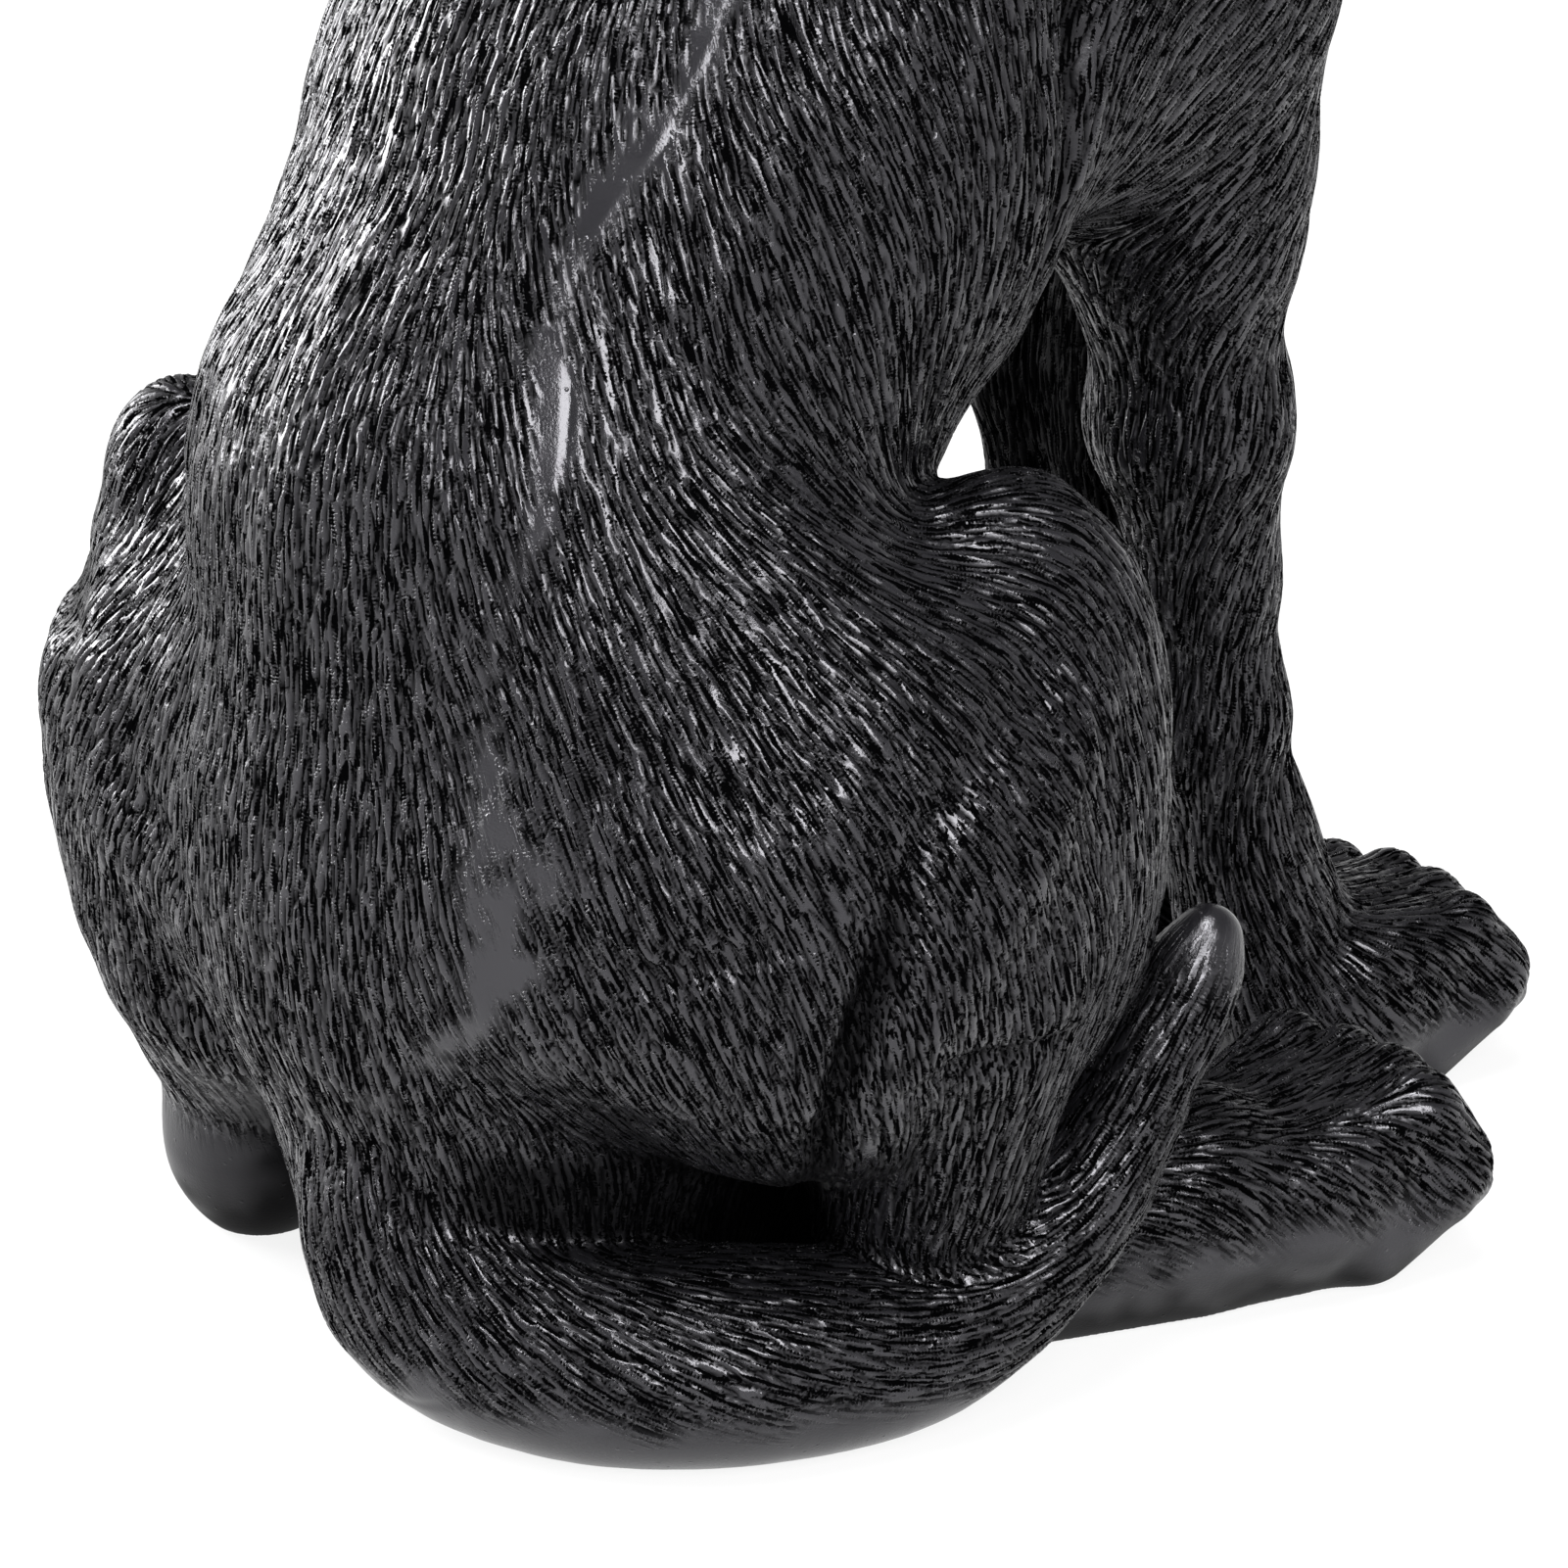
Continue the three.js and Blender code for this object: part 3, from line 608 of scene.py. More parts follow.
def whole_distance(groups: dict[str, Clay], points: np.ndarray) -> np.ndarray:
    """How far points lie outside the whole dog, which stands flat on its base.

    Args:
        groups: The clay of each part.
        points: N by 3 places in millimetres.

    Returns:
        N distances, negative inside.
    """
    nearest = groups["trunk"].distance(points)
    for name, blend in CREASES.items():
        width = crease_at(name, points)
        other = groups[name].near(points, blend + HAUNCH_MERGE)
        near = np.maximum(width - np.abs(nearest - other), 0)
        nearest = np.minimum(nearest, other) - near * near / (4 * width)
    return np.maximum(nearest, np.float32(BASE_HEIGHT) - points[:, 2])


# Lay of the fur: places and the way that the strokes run there, for the right side

LAY: dict[str, list[tuple[Point, Point]]] = {
    "trunk": [
        ((0, 12, 215), (0, 0.75, -0.66)),
        ((0, 45, 185), (0, 0.6, -0.8)),
        ((0, 72, 145), (0, 0.45, -0.9)),
        ((0, 86, 100), (0, 0.1, -1)),
        ((0, 87, 60), (0, 0, -1)),
        ((-26, 30, 190), (-0.35, 0.3, -0.88)),
        ((-30, 60, 140), (-0.45, 0.1, -0.9)),
        ((-34, 72, 100), (-0.45, -0.05, -0.9)),
        ((-34, 74, 60), (-0.35, -0.05, -0.95)),
        ((-46, 30, 160), (-0.3, -0.3, -0.9)),
        ((-49, 5, 150), (0, 0.1, -1)),
        ((-44, 45, 120), (-0.3, -0.5, -0.8)),
        ((-46, -30, 180), (0, 0.75, -0.66)),
        ((-40, -55, 165), (0.1, 0.7, -0.7)),
        ((-28, -60, 140), (0.1, 0.55, -0.83)),
        ((0, -75, 170), (0, 0, -1)),
        ((0, -40, 130), (0, 0.6, -0.7)),
        ((0, 0, 110), (0, 0.9, -0.3)),
        ((-36, -20, 215), (0, 0.5, -0.86)),
        ((0, 40, 5), (0, 0.3, -0.9)),
    ],
    "haunch": [
        ((-50, 70, 90), (-0.4, -0.25, -0.87)),
        ((-66, 55, 95), (-0.2, -0.42, -0.88)),
        ((-72, 35, 90), (0, -0.45, -0.9)),
        ((-70, 10, 95), (0, -0.15, -1)),
        ((-60, -5, 100), (0.1, 0.1, -1)),
        ((-55, 20, 116), (-0.3, -0.8, -0.5)),
        ((-72, 40, 65), (0, -0.3, -0.95)),
        ((-68, 15, 55), (0, 0.1, -1)),
        ((-45, 15, 30), (0.3, 0.15, -0.94)),
        ((-30, 0, 80), (0, -0.2, -0.95)),
    ],
    "leg": [
        ((-28, -55, 130), (0.1, 0.3, -0.95)),
        ((-28, -62, 90), (0.1, 0.22, -0.97)),
        ((-24, -66, 60), (0.05, 0.1, -1)),
        ((-16, -46, 110), (0, 0.2, -1)),
        ((-24, -78, 32), (0, -0.5, -0.85)),
        ((-20, -95, 30), (0, -0.95, -0.3)),
        ((-34, -95, 16), (-0.2, -0.7, -0.7)),
        ((-20, -118, 14), (0, -0.5, -0.85)),
    ],
    "foot": [
        ((-34, 18, 25), (0, -0.3, -0.95)),
        ((-44, 0, 28), (-0.1, -0.97, -0.2)),
        ((-52, -25, 30), (-0.1, -0.98, -0.1)),
        ((-54, -48, 26), (0, -0.95, -0.3)),
        ((-70, -25, 14), (-0.2, -0.6, -0.75)),
        ((-70, -45, 12), (-0.2, -0.7, -0.7)),
        ((-54, -66, 12), (0, -0.5, -0.85)),
    ],
    "head": [
        ((0, -108, 262), (0, 0.9, 0.2)),
        ((0, -85, 275), (0, 0.8, 0.5)),
        ((0, -55, 296), (0, 0.98, 0.1)),
        ((0, -25, 290), (0, 0.75, -0.6)),
        ((-14, -95, 248), (0, 0.95, -0.2)),
        ((-24, -65, 255), (0, 0.9, -0.4)),
        ((-36, -42, 270), (-0.2, 0.3, -0.9)),
        ((-42, -42, 245), (0, 0.05, -1)),
        ((0, -80, 235), (0, 0.9, -0.3)),
        ((0, -5, 255), (0, 0.45, -0.9)),
        ((-32, -30, 235), (0, 0.4, -0.9)),
        ((0, -60, 215), (0, 0.1, -1)),
    ],
    "web": [((0, -63, 104), (0, 0, -1))],
}


def lay_guides(form: DogForm, group: str) -> tuple[np.ndarray, np.ndarray]:
    """The guides of one part of the dog, turned over for its left side.

    Args:
        form: The dog's shape, for the line of the tail.
        group: The part's name.

    Returns:
        The guides' places and their ways, each N by 3.
    """
    if group == "tail":
        line = form.tail_line()
        ways = unit(np.gradient(line, axis=0))
        ways[:, 2] -= np.linspace(TAIL_FALL, 0.0, len(line))
        return line, ways
    word, _, rest = group.partition("_")
    rows = np.array(LAY[rest or word], float)
    places, ways = rows[:, 0], rows[:, 1]
    flip = np.array([-1.0, 1.0, 1.0])
    if word == Side.LEFT.word:
        return places * flip, ways * flip
    if word == Side.RIGHT.word:
        return places, ways
    return np.vstack([places, places * flip]), np.vstack([ways, ways * flip])


# Grooves and folds pressed into the clay: a line, its half width and its depth (negative stands proud)


@dataclass(frozen=True)
class Fold:
    """A groove or ridge along a smooth line."""

    line: tuple[Point, ...]
    width: float
    depth: float
    cuts: int = 6
    margin: float = 3.0

    def press(self, points: np.ndarray) -> np.ndarray:
        """How deep the fold goes at each point.

        Args:
            points: N by 3 places in millimetres.

        Returns:
            N depths.
        """
        path = smooth_path(list(self.line), self.cuts * len(self.line)).astype(np.float32)
        depth = np.zeros(len(points), np.float32)
        reach = self.margin * self.width
        low, high = path.min(0) - reach, path.max(0) + reach
        near = np.flatnonzero(((points > low) & (points < high)).all(1))
        if not len(near):
            return depth
        spots = points[near]
        best = np.full(len(near), np.inf, np.float32)
        share = np.zeros(len(near), np.float32)
        for n, (a, b) in enumerate(zip(path, path[1:])):
            along = b - a
            t = np.clip((spots - a) @ along / (along @ along), 0, 1)
            away = ((spots - a - t[:, None] * along) ** 2).sum(1)
            closer = away < best
            best[closer] = away[closer]
            share[closer] = ((n + t) / (len(path) - 1))[closer]
        fade = np.sin(np.pi * np.clip(share, 0.02, 0.98)) ** 0.5
        depth[near] = self.depth * fade * np.exp(-best / self.width**2)
        return depth


# Mesh helpers


def deselect() -> None:
    """Leaves nothing selected."""
    bpy.ops.object.select_all(action="DESELECT")


def only(piece: bpy.types.Object) -> None:
    """Makes one object the selected and active one.

    Args:
        piece: The object.
    """
    deselect()
    piece.select_set(True)
    bpy.context.view_layer.objects.active = piece


def apply_modifier(piece: bpy.types.Object, kind: str, **settings: object) -> None:
    """Adds a modifier to an object and applies it.

    Args:
        piece: The object.
        kind: The modifier's type.
        settings: The modifier's values.
    """
    only(piece)
    modifier = piece.modifiers.new(kind.lower(), kind)
    for name, value in settings.items():
        setattr(modifier, name, value)
    bpy.ops.object.modifier_apply(modifier=modifier.name)


def places_of(piece: bpy.types.Object) -> np.ndarray:
    """A mesh's vertices as an N by 3 array, in metres.

    Args:
        piece: The mesh object.

    Returns:
        The places.
    """
    flat = np.empty(len(piece.data.vertices) * 3, np.float32)
    piece.data.vertices.foreach_get("co", flat)
    return flat.reshape(-1, 3)


def set_places(piece: bpy.types.Object, places: np.ndarray) -> None:
    """Moves a mesh's vertices to an N by 3 array, in metres."""
    piece.data.vertices.foreach_set("co", np.ascontiguousarray(places, np.float32).ravel())
    piece.data.update()


def keep_values(piece: bpy.types.Object, name: str, values: np.ndarray) -> None:
    """Keeps a number or a vector for each vertex as an attribute.

    Args:
        piece: The mesh object.
        name: The attribute's name.
        values: N numbers, or N by 3.
    """
    vector = values.ndim == 2
    made = piece.data.attributes.new(name, "FLOAT_VECTOR" if vector else "FLOAT", "POINT")
    flat = np.ascontiguousarray(values, np.float32).ravel()
    made.data.foreach_set("vector" if vector else "value", flat)


def read_values(piece: bpy.types.Object, name: str) -> np.ndarray:
    """A kept attribute as N numbers or N by 3.

    Args:
        piece: The mesh object.
        name: The attribute's name.

    Returns:
        The values.
    """
    kept = piece.data.attributes[name]
    vector = kept.data_type == "FLOAT_VECTOR"
    flat = np.empty(len(kept.data) * (3 if vector else 1), np.float32)
    kept.data.foreach_get("vector" if vector else "value", flat)
    return flat.reshape(-1, 3) if vector else flat


def drop_values(piece: bpy.types.Object, *names: str) -> None:
    """Removes kept attributes."""
    for name in names:
        piece.data.attributes.remove(piece.data.attributes[name])


def unit(vectors: np.ndarray) -> np.ndarray:
    """Vectors at length one."""
    return vectors / np.maximum(np.linalg.norm(vectors, axis=1, keepdims=True), 1e-9)


def edge_ends(piece: bpy.types.Object) -> np.ndarray:
    """The two vertices of each edge, N by 2.

    Args:
        piece: The mesh object.

    Returns:
        The vertices' numbers.
    """
    flat = np.empty(len(piece.data.edges) * 2, np.int32)
    piece.data.edges.foreach_get("vertices", flat)
    return flat.reshape(-1, 2)


def neighbour_mean(values: np.ndarray, ends: np.ndarray) -> np.ndarray:
    """Each vertex's mean over the vertices that it has an edge with.

    Args:
        values: N by K values at the vertices.
        ends: The edges' ends.

    Returns:
        N by K means.
    """
    count = np.bincount(ends.ravel(), minlength=len(values)).astype(np.float32)
    total = np.empty_like(values)
    for k in range(values.shape[1]):
        column = values[:, k]
        total[:, k] = np.bincount(ends[:, 0], column[ends[:, 1]], len(values))
        total[:, k] += np.bincount(ends[:, 1], column[ends[:, 0]], len(values))
    return total / np.maximum(count, 1)[:, None]


def cloud(points: np.ndarray, size: float, seed: float) -> np.ndarray:
    """Soft noise from about -1 to 1.

    Args:
        points: N by 3 places in millimetres.
        size: The size of its blotches.
        seed: A shift that makes another pattern.

    Returns:
        N values.
    """
    scaled = points / size + seed
    return np.array([noise.noise(Vector(p)) for p in scaled.tolist()], np.float32) * NOISE_GAIN


# Fur


class SpotGrid:
    """Spots sorted into cubes, so that the near ones are found quickly."""

    def __init__(self, spots: np.ndarray, size: float) -> None:
        """Sorts the spots.

        Args:
            spots: N by 3 places.
            size: The side of a cube.
        """
        self.size = size
        self.cubes = dict(self.sorted_rows(spots))

    def sorted_rows(self, points: np.ndarray) -> list[tuple[Cell, np.ndarray]]:
        """The cubes that hold points, each with the numbers of its points.

        Args:
            points: N by 3 places.

        Returns:
            Each cube and the rows of its points.
        """
        cells = np.floor(points / self.size).astype(int)
        order = np.lexsort(cells.T)
        edges = np.flatnonzero(np.any(np.diff(cells[order], axis=0), axis=1)) + 1
        return [(tuple(cells[rows[0]].tolist()), rows) for rows in np.split(order, edges)]

    def near(self, points: np.ndarray) -> Iterator[tuple[np.ndarray, np.ndarray]]:
        """Goes through the points cube by cube.

        Args:
            points: M by 3 places.

        Yields:
            The numbers of a cube's points, and of the spots in that cube and those round it.
        """
        shifts = list(itertools.product((-1, 0, 1), repeat=3))
        for (i, j, k), rows in self.sorted_rows(points):
            round_it = [self.cubes.get((i + p, j + q, k + r)) for p, q, r in shifts]
            found = [spots for spots in round_it if spots is not None]
            if found:
                yield rows, np.concatenate(found)


@dataclass
class FurCoat:
    """Sculpted fur: grooves cut along the lay, close together and of uneven length."""

    reach: float = 2.7
    half_width: float = 0.3
    depth: float = 0.45
    pitch_along: float = 2.8
    pitch_across: float = 1.05
    room: float = 0.62
    search: float = 4.0
    sway: float = 0.09
    reach_spread: tuple[float, float] = (0.6, 1.45)
    width_spread: tuple[float, float] = (0.6, 1.4)
    depth_spread: tuple[float, float] = (0.5, 1.2)
    bend: float = 0.25
    lip: float = 1.15
    same_side: float = 0.3
    bend_middle: float = 0.4
    relief_middle: float = 0.4
    seed: int = 7

    def plant(self, places: np.ndarray, ways: np.ndarray, outs: np.ndarray) -> int:
        """Sets the grooves' middles from many candidates.

        Args:
            places: N by 3 candidates in millimetres, in random order.
            ways: The way that the fur runs at each.
            outs: The skin's normals there.

        Returns:
            The number of grooves.
        """
        kept = self.thin(places, ways, np.cross(outs, ways))
        draw = np.random.default_rng(self.seed)
        count = len(kept)
        self.places, self.outs = places[kept].astype(np.float32), outs[kept].astype(np.float32)
        sway = draw.normal(0, self.sway, (count, 1)).astype(np.float32)
        self.ways = unit(ways[kept] + sway * np.cross(self.outs, ways[kept])).astype(np.float32)
        self.across = np.cross(self.outs, self.ways).astype(np.float32)
        self.reaches = (self.reach * draw.uniform(*self.reach_spread, count)).astype(np.float32)
        self.widths = (self.half_width * draw.uniform(*self.width_spread, count)).astype(np.float32)
        self.depths = draw.uniform(*self.depth_spread, count).astype(np.float32)
        self.bends = draw.normal(0, self.bend, count).astype(np.float32)
        self.grid = SpotGrid(self.places, self.search)
        return count

    @staticmethod
    def steps(
        points: np.ndarray, places: np.ndarray, ways: np.ndarray, across: np.ndarray
    ) -> tuple[np.ndarray, np.ndarray]:
        """How far points lie from places, along and across the fur there.

        Args:
            points: N by 3 points.
            places: M by 3 places.
            ways: The fur's way at each place.
            across: The way across it.

        Returns:
            N by M steps along, and N by M steps across.
        """
        u = points @ ways.T - (places * ways).sum(1)
        v = points @ across.T - (places * across).sum(1)
        return u, v

    def thin(self, spots: np.ndarray, ways: np.ndarray, across: np.ndarray) -> np.ndarray:
        """Drops the spots that crowd an earlier one, measured along and across the fur.

        Args:
            spots: N by 3 candidates.
            ways: The fur's way at each.
            across: The way across it.

        Returns:
            The numbers of the spots that stay.
        """
        pairs = []
        for rows, others in SpotGrid(spots, self.search).near(spots):
            u, v = self.steps(spots[rows], spots[others], ways[others], across[others])
            close = (u / self.pitch_along) ** 2 + (v / self.pitch_across) ** 2 < self.room
            mine, theirs = np.nonzero(close & (ways[rows] @ ways[others].T > 0))
            pairs.append(np.stack([rows[mine], others[theirs]]))
        one, two = np.concatenate(pairs, 1)
        one, two = one[one != two], two[one != two]
        rank = np.arange(len(spots))
        free = np.ones(len(spots), bool)
        kept = np.zeros(len(spots), bool)
        while free.any():
            live = free[one] & free[two]
            lowest = np.full(len(spots), len(spots))
            np.minimum.at(lowest, one[live], two[live])
            chosen = free & (rank < lowest)
            kept |= chosen
            free &= ~chosen
            free[two[chosen[one]]] = False
        return np.flatnonzero(kept)

    def relief(self, points: np.ndarray, outs: np.ndarray) -> tuple[np.ndarray, np.ndarray]:
        """The depth of the grooves.

        Args:
            points: N by 3 places in millimetres.
            outs: The skin's normals there.

        Returns:
            N heights about the middle of the relief, and N shares from 0 in a groove to 1 beside it.
        """
        cut = np.zeros(len(points), np.float32)
        shade = np.zeros(len(points), np.float32)
        for rows, strokes in self.grid.near(points):
            u, v = self.steps(
                points[rows], self.places[strokes], self.ways[strokes], self.across[strokes]
            )
            u = u / self.reaches[strokes]
            v = v - self.bends[strokes] * (u * u - self.bend_middle)
            taper = np.clip(1 - u * u, 0, 1)
            open_to = np.maximum(self.widths[strokes] * np.sqrt(taper), 1e-3)
            notch = np.clip(self.lip - np.abs(v) / open_to, 0, 1)
            notch[outs[rows] @ self.outs[strokes].T < self.same_side] = 0
            shade[rows] = notch.max(1)
            cut[rows] = (notch * self.depths[strokes] * np.sqrt(taper)).max(1)
        return self.depth * (self.relief_middle - cut), 1 - shade


# Finishes


def new_material(name: str) -> tuple[bpy.types.Material, bpy.types.NodeTree, bpy.types.Node]:
    """An empty node material.

    Args:
        name: The material's name.

    Returns:
        The material, its nodes and its principled shader.
    """
    material = bpy.data.materials.new(name)
    material.use_nodes = True
    return material, material.node_tree, material.node_tree.nodes["Principled BSDF"]


def add_node(tree: bpy.types.NodeTree, kind: str, **values: object) -> bpy.types.Node:
    """Adds a node and sets its inputs and properties by name.

    Args:
        tree: The node tree.
        kind: The node's type.
        values: Input sockets, or properties of the node.

    Returns:
        The node.
    """
    node = tree.nodes.new(kind)
    for name, value in values.items():
        socket = node.inputs.get(name.replace("_", " ").title()) or node.inputs.get(name)
        if socket is not None:
            socket.default_value = value
        else:
            setattr(node, name, value)
    return node


@dataclass(frozen=True)
class PaintedResin:
    """Satin black paint on cast resin: strands along the fur, glossy on top and dull in the grooves,
    with painted shade that darkens the grooves, folds and recesses.
    """

    colour: tuple[float, float, float, float] = (0.0058, 0.0056, 0.0068, 1)
    # the colour of the painted shade in the fur's grooves, the folds and the recesses
    groove_colour: tuple[float, float, float, float] = (0.0006, 0.0006, 0.0007, 1)
    rough_low: float = 0.16
    rough_high: float = 0.27
    groove_rough: float = 0.55
    tint: tuple[float, float, float, float] = (0.955, 0.942, 1.0, 1)
    strand_scale: float = 2100.0
    strand_step: float = 0.00045
    strand_samples: int = 9
    strand_height: float = 0.0004
    strand_limits: tuple[float, float] = (0.46, 0.496)
    gloss: float = 0.66
    patch_scale: float = 90.0
    patch_limits: tuple[float, float] = (0.3, 0.7)
    peel_scale: float = 3200.0
    peel_height: float = 0.0001
    speck_scale: float = 420.0
    speck_size: float = 0.13
    speck_height: float = 0.00025

    def make(self) -> bpy.types.Material:
        """The finish as a material.

        Returns:
            The material.
        """
        material, tree, shader = new_material("satin_black_resin")
        link = tree.links.new
        where = add_node(tree, "ShaderNodeTexCoord").outputs["Object"]
        top = self.strands(tree, where)
        # Painted shade: the ridge attribute and the fine strands darken the base colour and lower the
        # specular level in grooves, folds and recesses.
        ridge = add_node(tree, "ShaderNodeAttribute", attribute_name="ridge").outputs["Fac"]
        shade = add_node(tree, "ShaderNodeMath", operation="MULTIPLY")
        link(ridge, shade.inputs[0])
        link(top, shade.inputs[1])
        paint = add_node(tree, "ShaderNodeMix", data_type="RGBA")
        paint.inputs[6].default_value = self.groove_colour
        paint.inputs[7].default_value = self.colour
        link(shade.outputs[0], paint.inputs[0])
        link(paint.outputs[2], shader.inputs["Base Color"])
        patches = add_node(tree, "ShaderNodeTexNoise", Scale=self.patch_scale, Detail=4.0)
        link(where, patches.inputs["Vector"])
        limits = (*self.patch_limits, self.rough_low, self.rough_high)
        spread = self.spread(tree, patches.outputs["Fac"], limits)
        dull = add_node(tree, "ShaderNodeMix", data_type="FLOAT")
        dull.inputs[2].default_value = self.groove_rough
        link(shade.outputs[0], dull.inputs[0])
        link(spread, dull.inputs[3])
        link(dull.outputs[0], shader.inputs["Roughness"])
        gloss = self.spread(tree, shade.outputs[0], (0, 1, 0.0, self.gloss))
        link(gloss, shader.inputs["Specular IOR Level"])
        shader.inputs["Specular Tint"].default_value = self.tint
        link(self.relief(tree, where, top), shader.inputs["Normal"])
        return material

    @staticmethod
    def spread(
        tree: bpy.types.NodeTree, value: bpy.types.NodeSocket, limits: tuple[float, float, float, float]
    ) -> bpy.types.NodeSocket:
        """Maps a value from one range to another.

        Args:
            tree: The material's nodes.
            value: The value.
            limits: The first range's ends and the second's.

        Returns:
            The mapped value.
        """
        node = add_node(tree, "ShaderNodeMapRange")
        for name, limit in zip(("From Min", "From Max", "To Min", "To Max"), limits):
            node.inputs[name].default_value = limit
        tree.links.new(value, node.inputs["Value"])
        return node.outputs["Result"]

    def strands(self, tree: bpy.types.NodeTree, where: bpy.types.NodeSocket) -> bpy.types.NodeSocket:
        """Fine noise drawn out along the lay of the fur.

        Args:
            tree: The material's nodes.
            where: The place on the object.

        Returns:
            0 in the fine grooves and 1 on the strands and on smooth skin.
        """
        link = tree.links.new
        lay = add_node(tree, "ShaderNodeAttribute", attribute_name="lay").outputs["Vector"]
        total = None
        for n in range(self.strand_samples):
            away = self.strand_step * (n - (self.strand_samples - 1) / 2)
            spot = add_node(tree, "ShaderNodeVectorMath", operation="MULTIPLY_ADD")
            spot.inputs[1].default_value = (away, away, away)
            link(lay, spot.inputs[0])
            link(where, spot.inputs[2])
            grain = add_node(tree, "ShaderNodeTexNoise", Scale=self.strand_scale, Detail=0.0)
            link(spot.outputs[0], grain.inputs["Vector"])
            if total is None:
                total = grain.outputs["Fac"]
                continue
            both = add_node(tree, "ShaderNodeMath", operation="ADD")
            link(total, both.inputs[0])
            link(grain.outputs["Fac"], both.inputs[1])
            total = both.outputs[0]
        low, high = (limit * self.strand_samples for limit in self.strand_limits)
        strand = self.spread(tree, total, (low, high, 0, 1))
        fur = add_node(tree, "ShaderNodeAttribute", attribute_name="fur").outputs["Fac"]
        top = add_node(tree, "ShaderNodeMix", data_type="FLOAT")
        top.inputs[2].default_value = 1.0
        link(fur, top.inputs[0])
        link(strand, top.inputs[3])
        return top.outputs[0]

    def relief(
        self, tree: bpy.types.NodeTree, where: bpy.types.NodeSocket, top: bpy.types.NodeSocket
    ) -> bpy.types.NodeSocket:
        """The paint's fine grain and specks, over the strands.

        Args:
            tree: The material's nodes.
            where: The place on the object.
            top: The strands' height.

        Returns:
            The normal.
        """
        link = tree.links.new
        peel = add_node(tree, "ShaderNodeTexNoise", Scale=self.peel_scale, Detail=2.0)
        specks = add_node(tree, "ShaderNodeTexVoronoi", Scale=self.speck_scale)
        link(where, peel.inputs["Vector"])
        link(where, specks.inputs["Vector"])
        dots = self.spread(tree, specks.outputs["Distance"], (0.0, self.speck_size, 1.0, 0.0))
        normal = None
        for height, strength, distance in (
            (top, 1.0, self.strand_height),
            (peel.outputs["Fac"], 0.35, self.peel_height),
            (dots, 0.5, self.speck_height),
        ):
            bump = add_node(tree, "ShaderNodeBump", Strength=strength, Distance=distance)
            link(height, bump.inputs["Height"])
            if normal is not None:
                link(normal, bump.inputs["Normal"])
            normal = bump.outputs["Normal"]
        return normal


@dataclass(frozen=True)
class PlainFinish:
    """A finish with a mottled colour and a fine grain."""

    name: str
    dark: tuple[float, float, float, float]
    light: tuple[float, float, float, float]
    rough: float
    metallic: float
    grain_scale: float
    grain_depth: float
    mottle: tuple[float, float] = (0.35, 0.65)
    grain_strength: float = 0.6

    def make(self) -> bpy.types.Material:
        """The finish as a material.

        Returns:
            The material.
        """
        material, tree, shader = new_material(self.name)
        link = tree.links.new
        where = add_node(tree, "ShaderNodeTexCoord").outputs["Object"]
        grain = add_node(tree, "ShaderNodeTexNoise", Scale=self.grain_scale, Detail=6.0)
        ramp = add_node(tree, "ShaderNodeValToRGB")
        for stop, colour, place in zip(
            ramp.color_ramp.elements, (self.dark, self.light), self.mottle
        ):
            stop.color, stop.position = colour, place
        bump = add_node(
            tree, "ShaderNodeBump", Strength=self.grain_strength, Distance=self.grain_depth
        )
        link(where, grain.inputs["Vector"])
        link(grain.outputs["Fac"], ramp.inputs["Fac"])
        link(ramp.outputs["Color"], shader.inputs["Base Color"])
        link(grain.outputs["Fac"], bump.inputs["Height"])
        link(bump.outputs["Normal"], shader.inputs["Normal"])
        shader.inputs["Roughness"].default_value = self.rough
        shader.inputs["Metallic"].default_value = self.metallic
        return material


STEEL = PlainFinish(
    "drawn_steel", (0.4, 0.42, 0.44, 1), (0.55, 0.57, 0.6, 1), 0.32, 1.0, 700.0, 0.00005
)
BEECH = PlainFinish(
    "beech", (0.36, 0.2, 0.085, 1), (0.52, 0.31, 0.14, 1), 0.6, 0.0, 260.0, 0.0001
)
FELT = PlainFinish(
    "green_felt", (0.008, 0.017, 0.012, 1), (0.018, 0.032, 0.022, 1), 0.95, 0.0, 2600.0, 0.0004
)
RUBBER = PlainFinish(
    "black_rubber", (0.011, 0.011, 0.011, 1), (0.018, 0.018, 0.018, 1), 0.75, 0.0, 900.0, 0.0001
)
ACRYLIC = PlainFinish(
    "brown_acrylic", (0.014, 0.007, 0.004, 1), (0.03, 0.015, 0.008, 1), 0.06, 0.0, 300.0, 0.00001
)


# The castings


@dataclass(frozen=True)
class PhotoView:
    """Where the photograph was taken from, in the dog's frame."""

    place: Point = (-495, 495, 330)
    target: Point = (0, 0, 62)
    lens: float = 134.8
    sensor: float = 36.0
    margin: float = 1.03

    def shows(self, points: np.ndarray) -> np.ndarray:
        """Which points lie inside the picture, or just outside.

        Args:
            points: N by 3 places in millimetres.

        Returns:
            True or False for each point.
        """
        ahead = unit(np.subtract(self.target, self.place)[None])[0]
        right = unit(np.cross(ahead, (0, 0, 1))[None])[0]
        away = points - np.array(self.place)
        reach = self.margin * (away @ ahead) * self.sensor / self.lens / 2
        return (np.abs(away @ right) < reach) & (np.abs(away @ np.cross(right, ahead)) < reach)


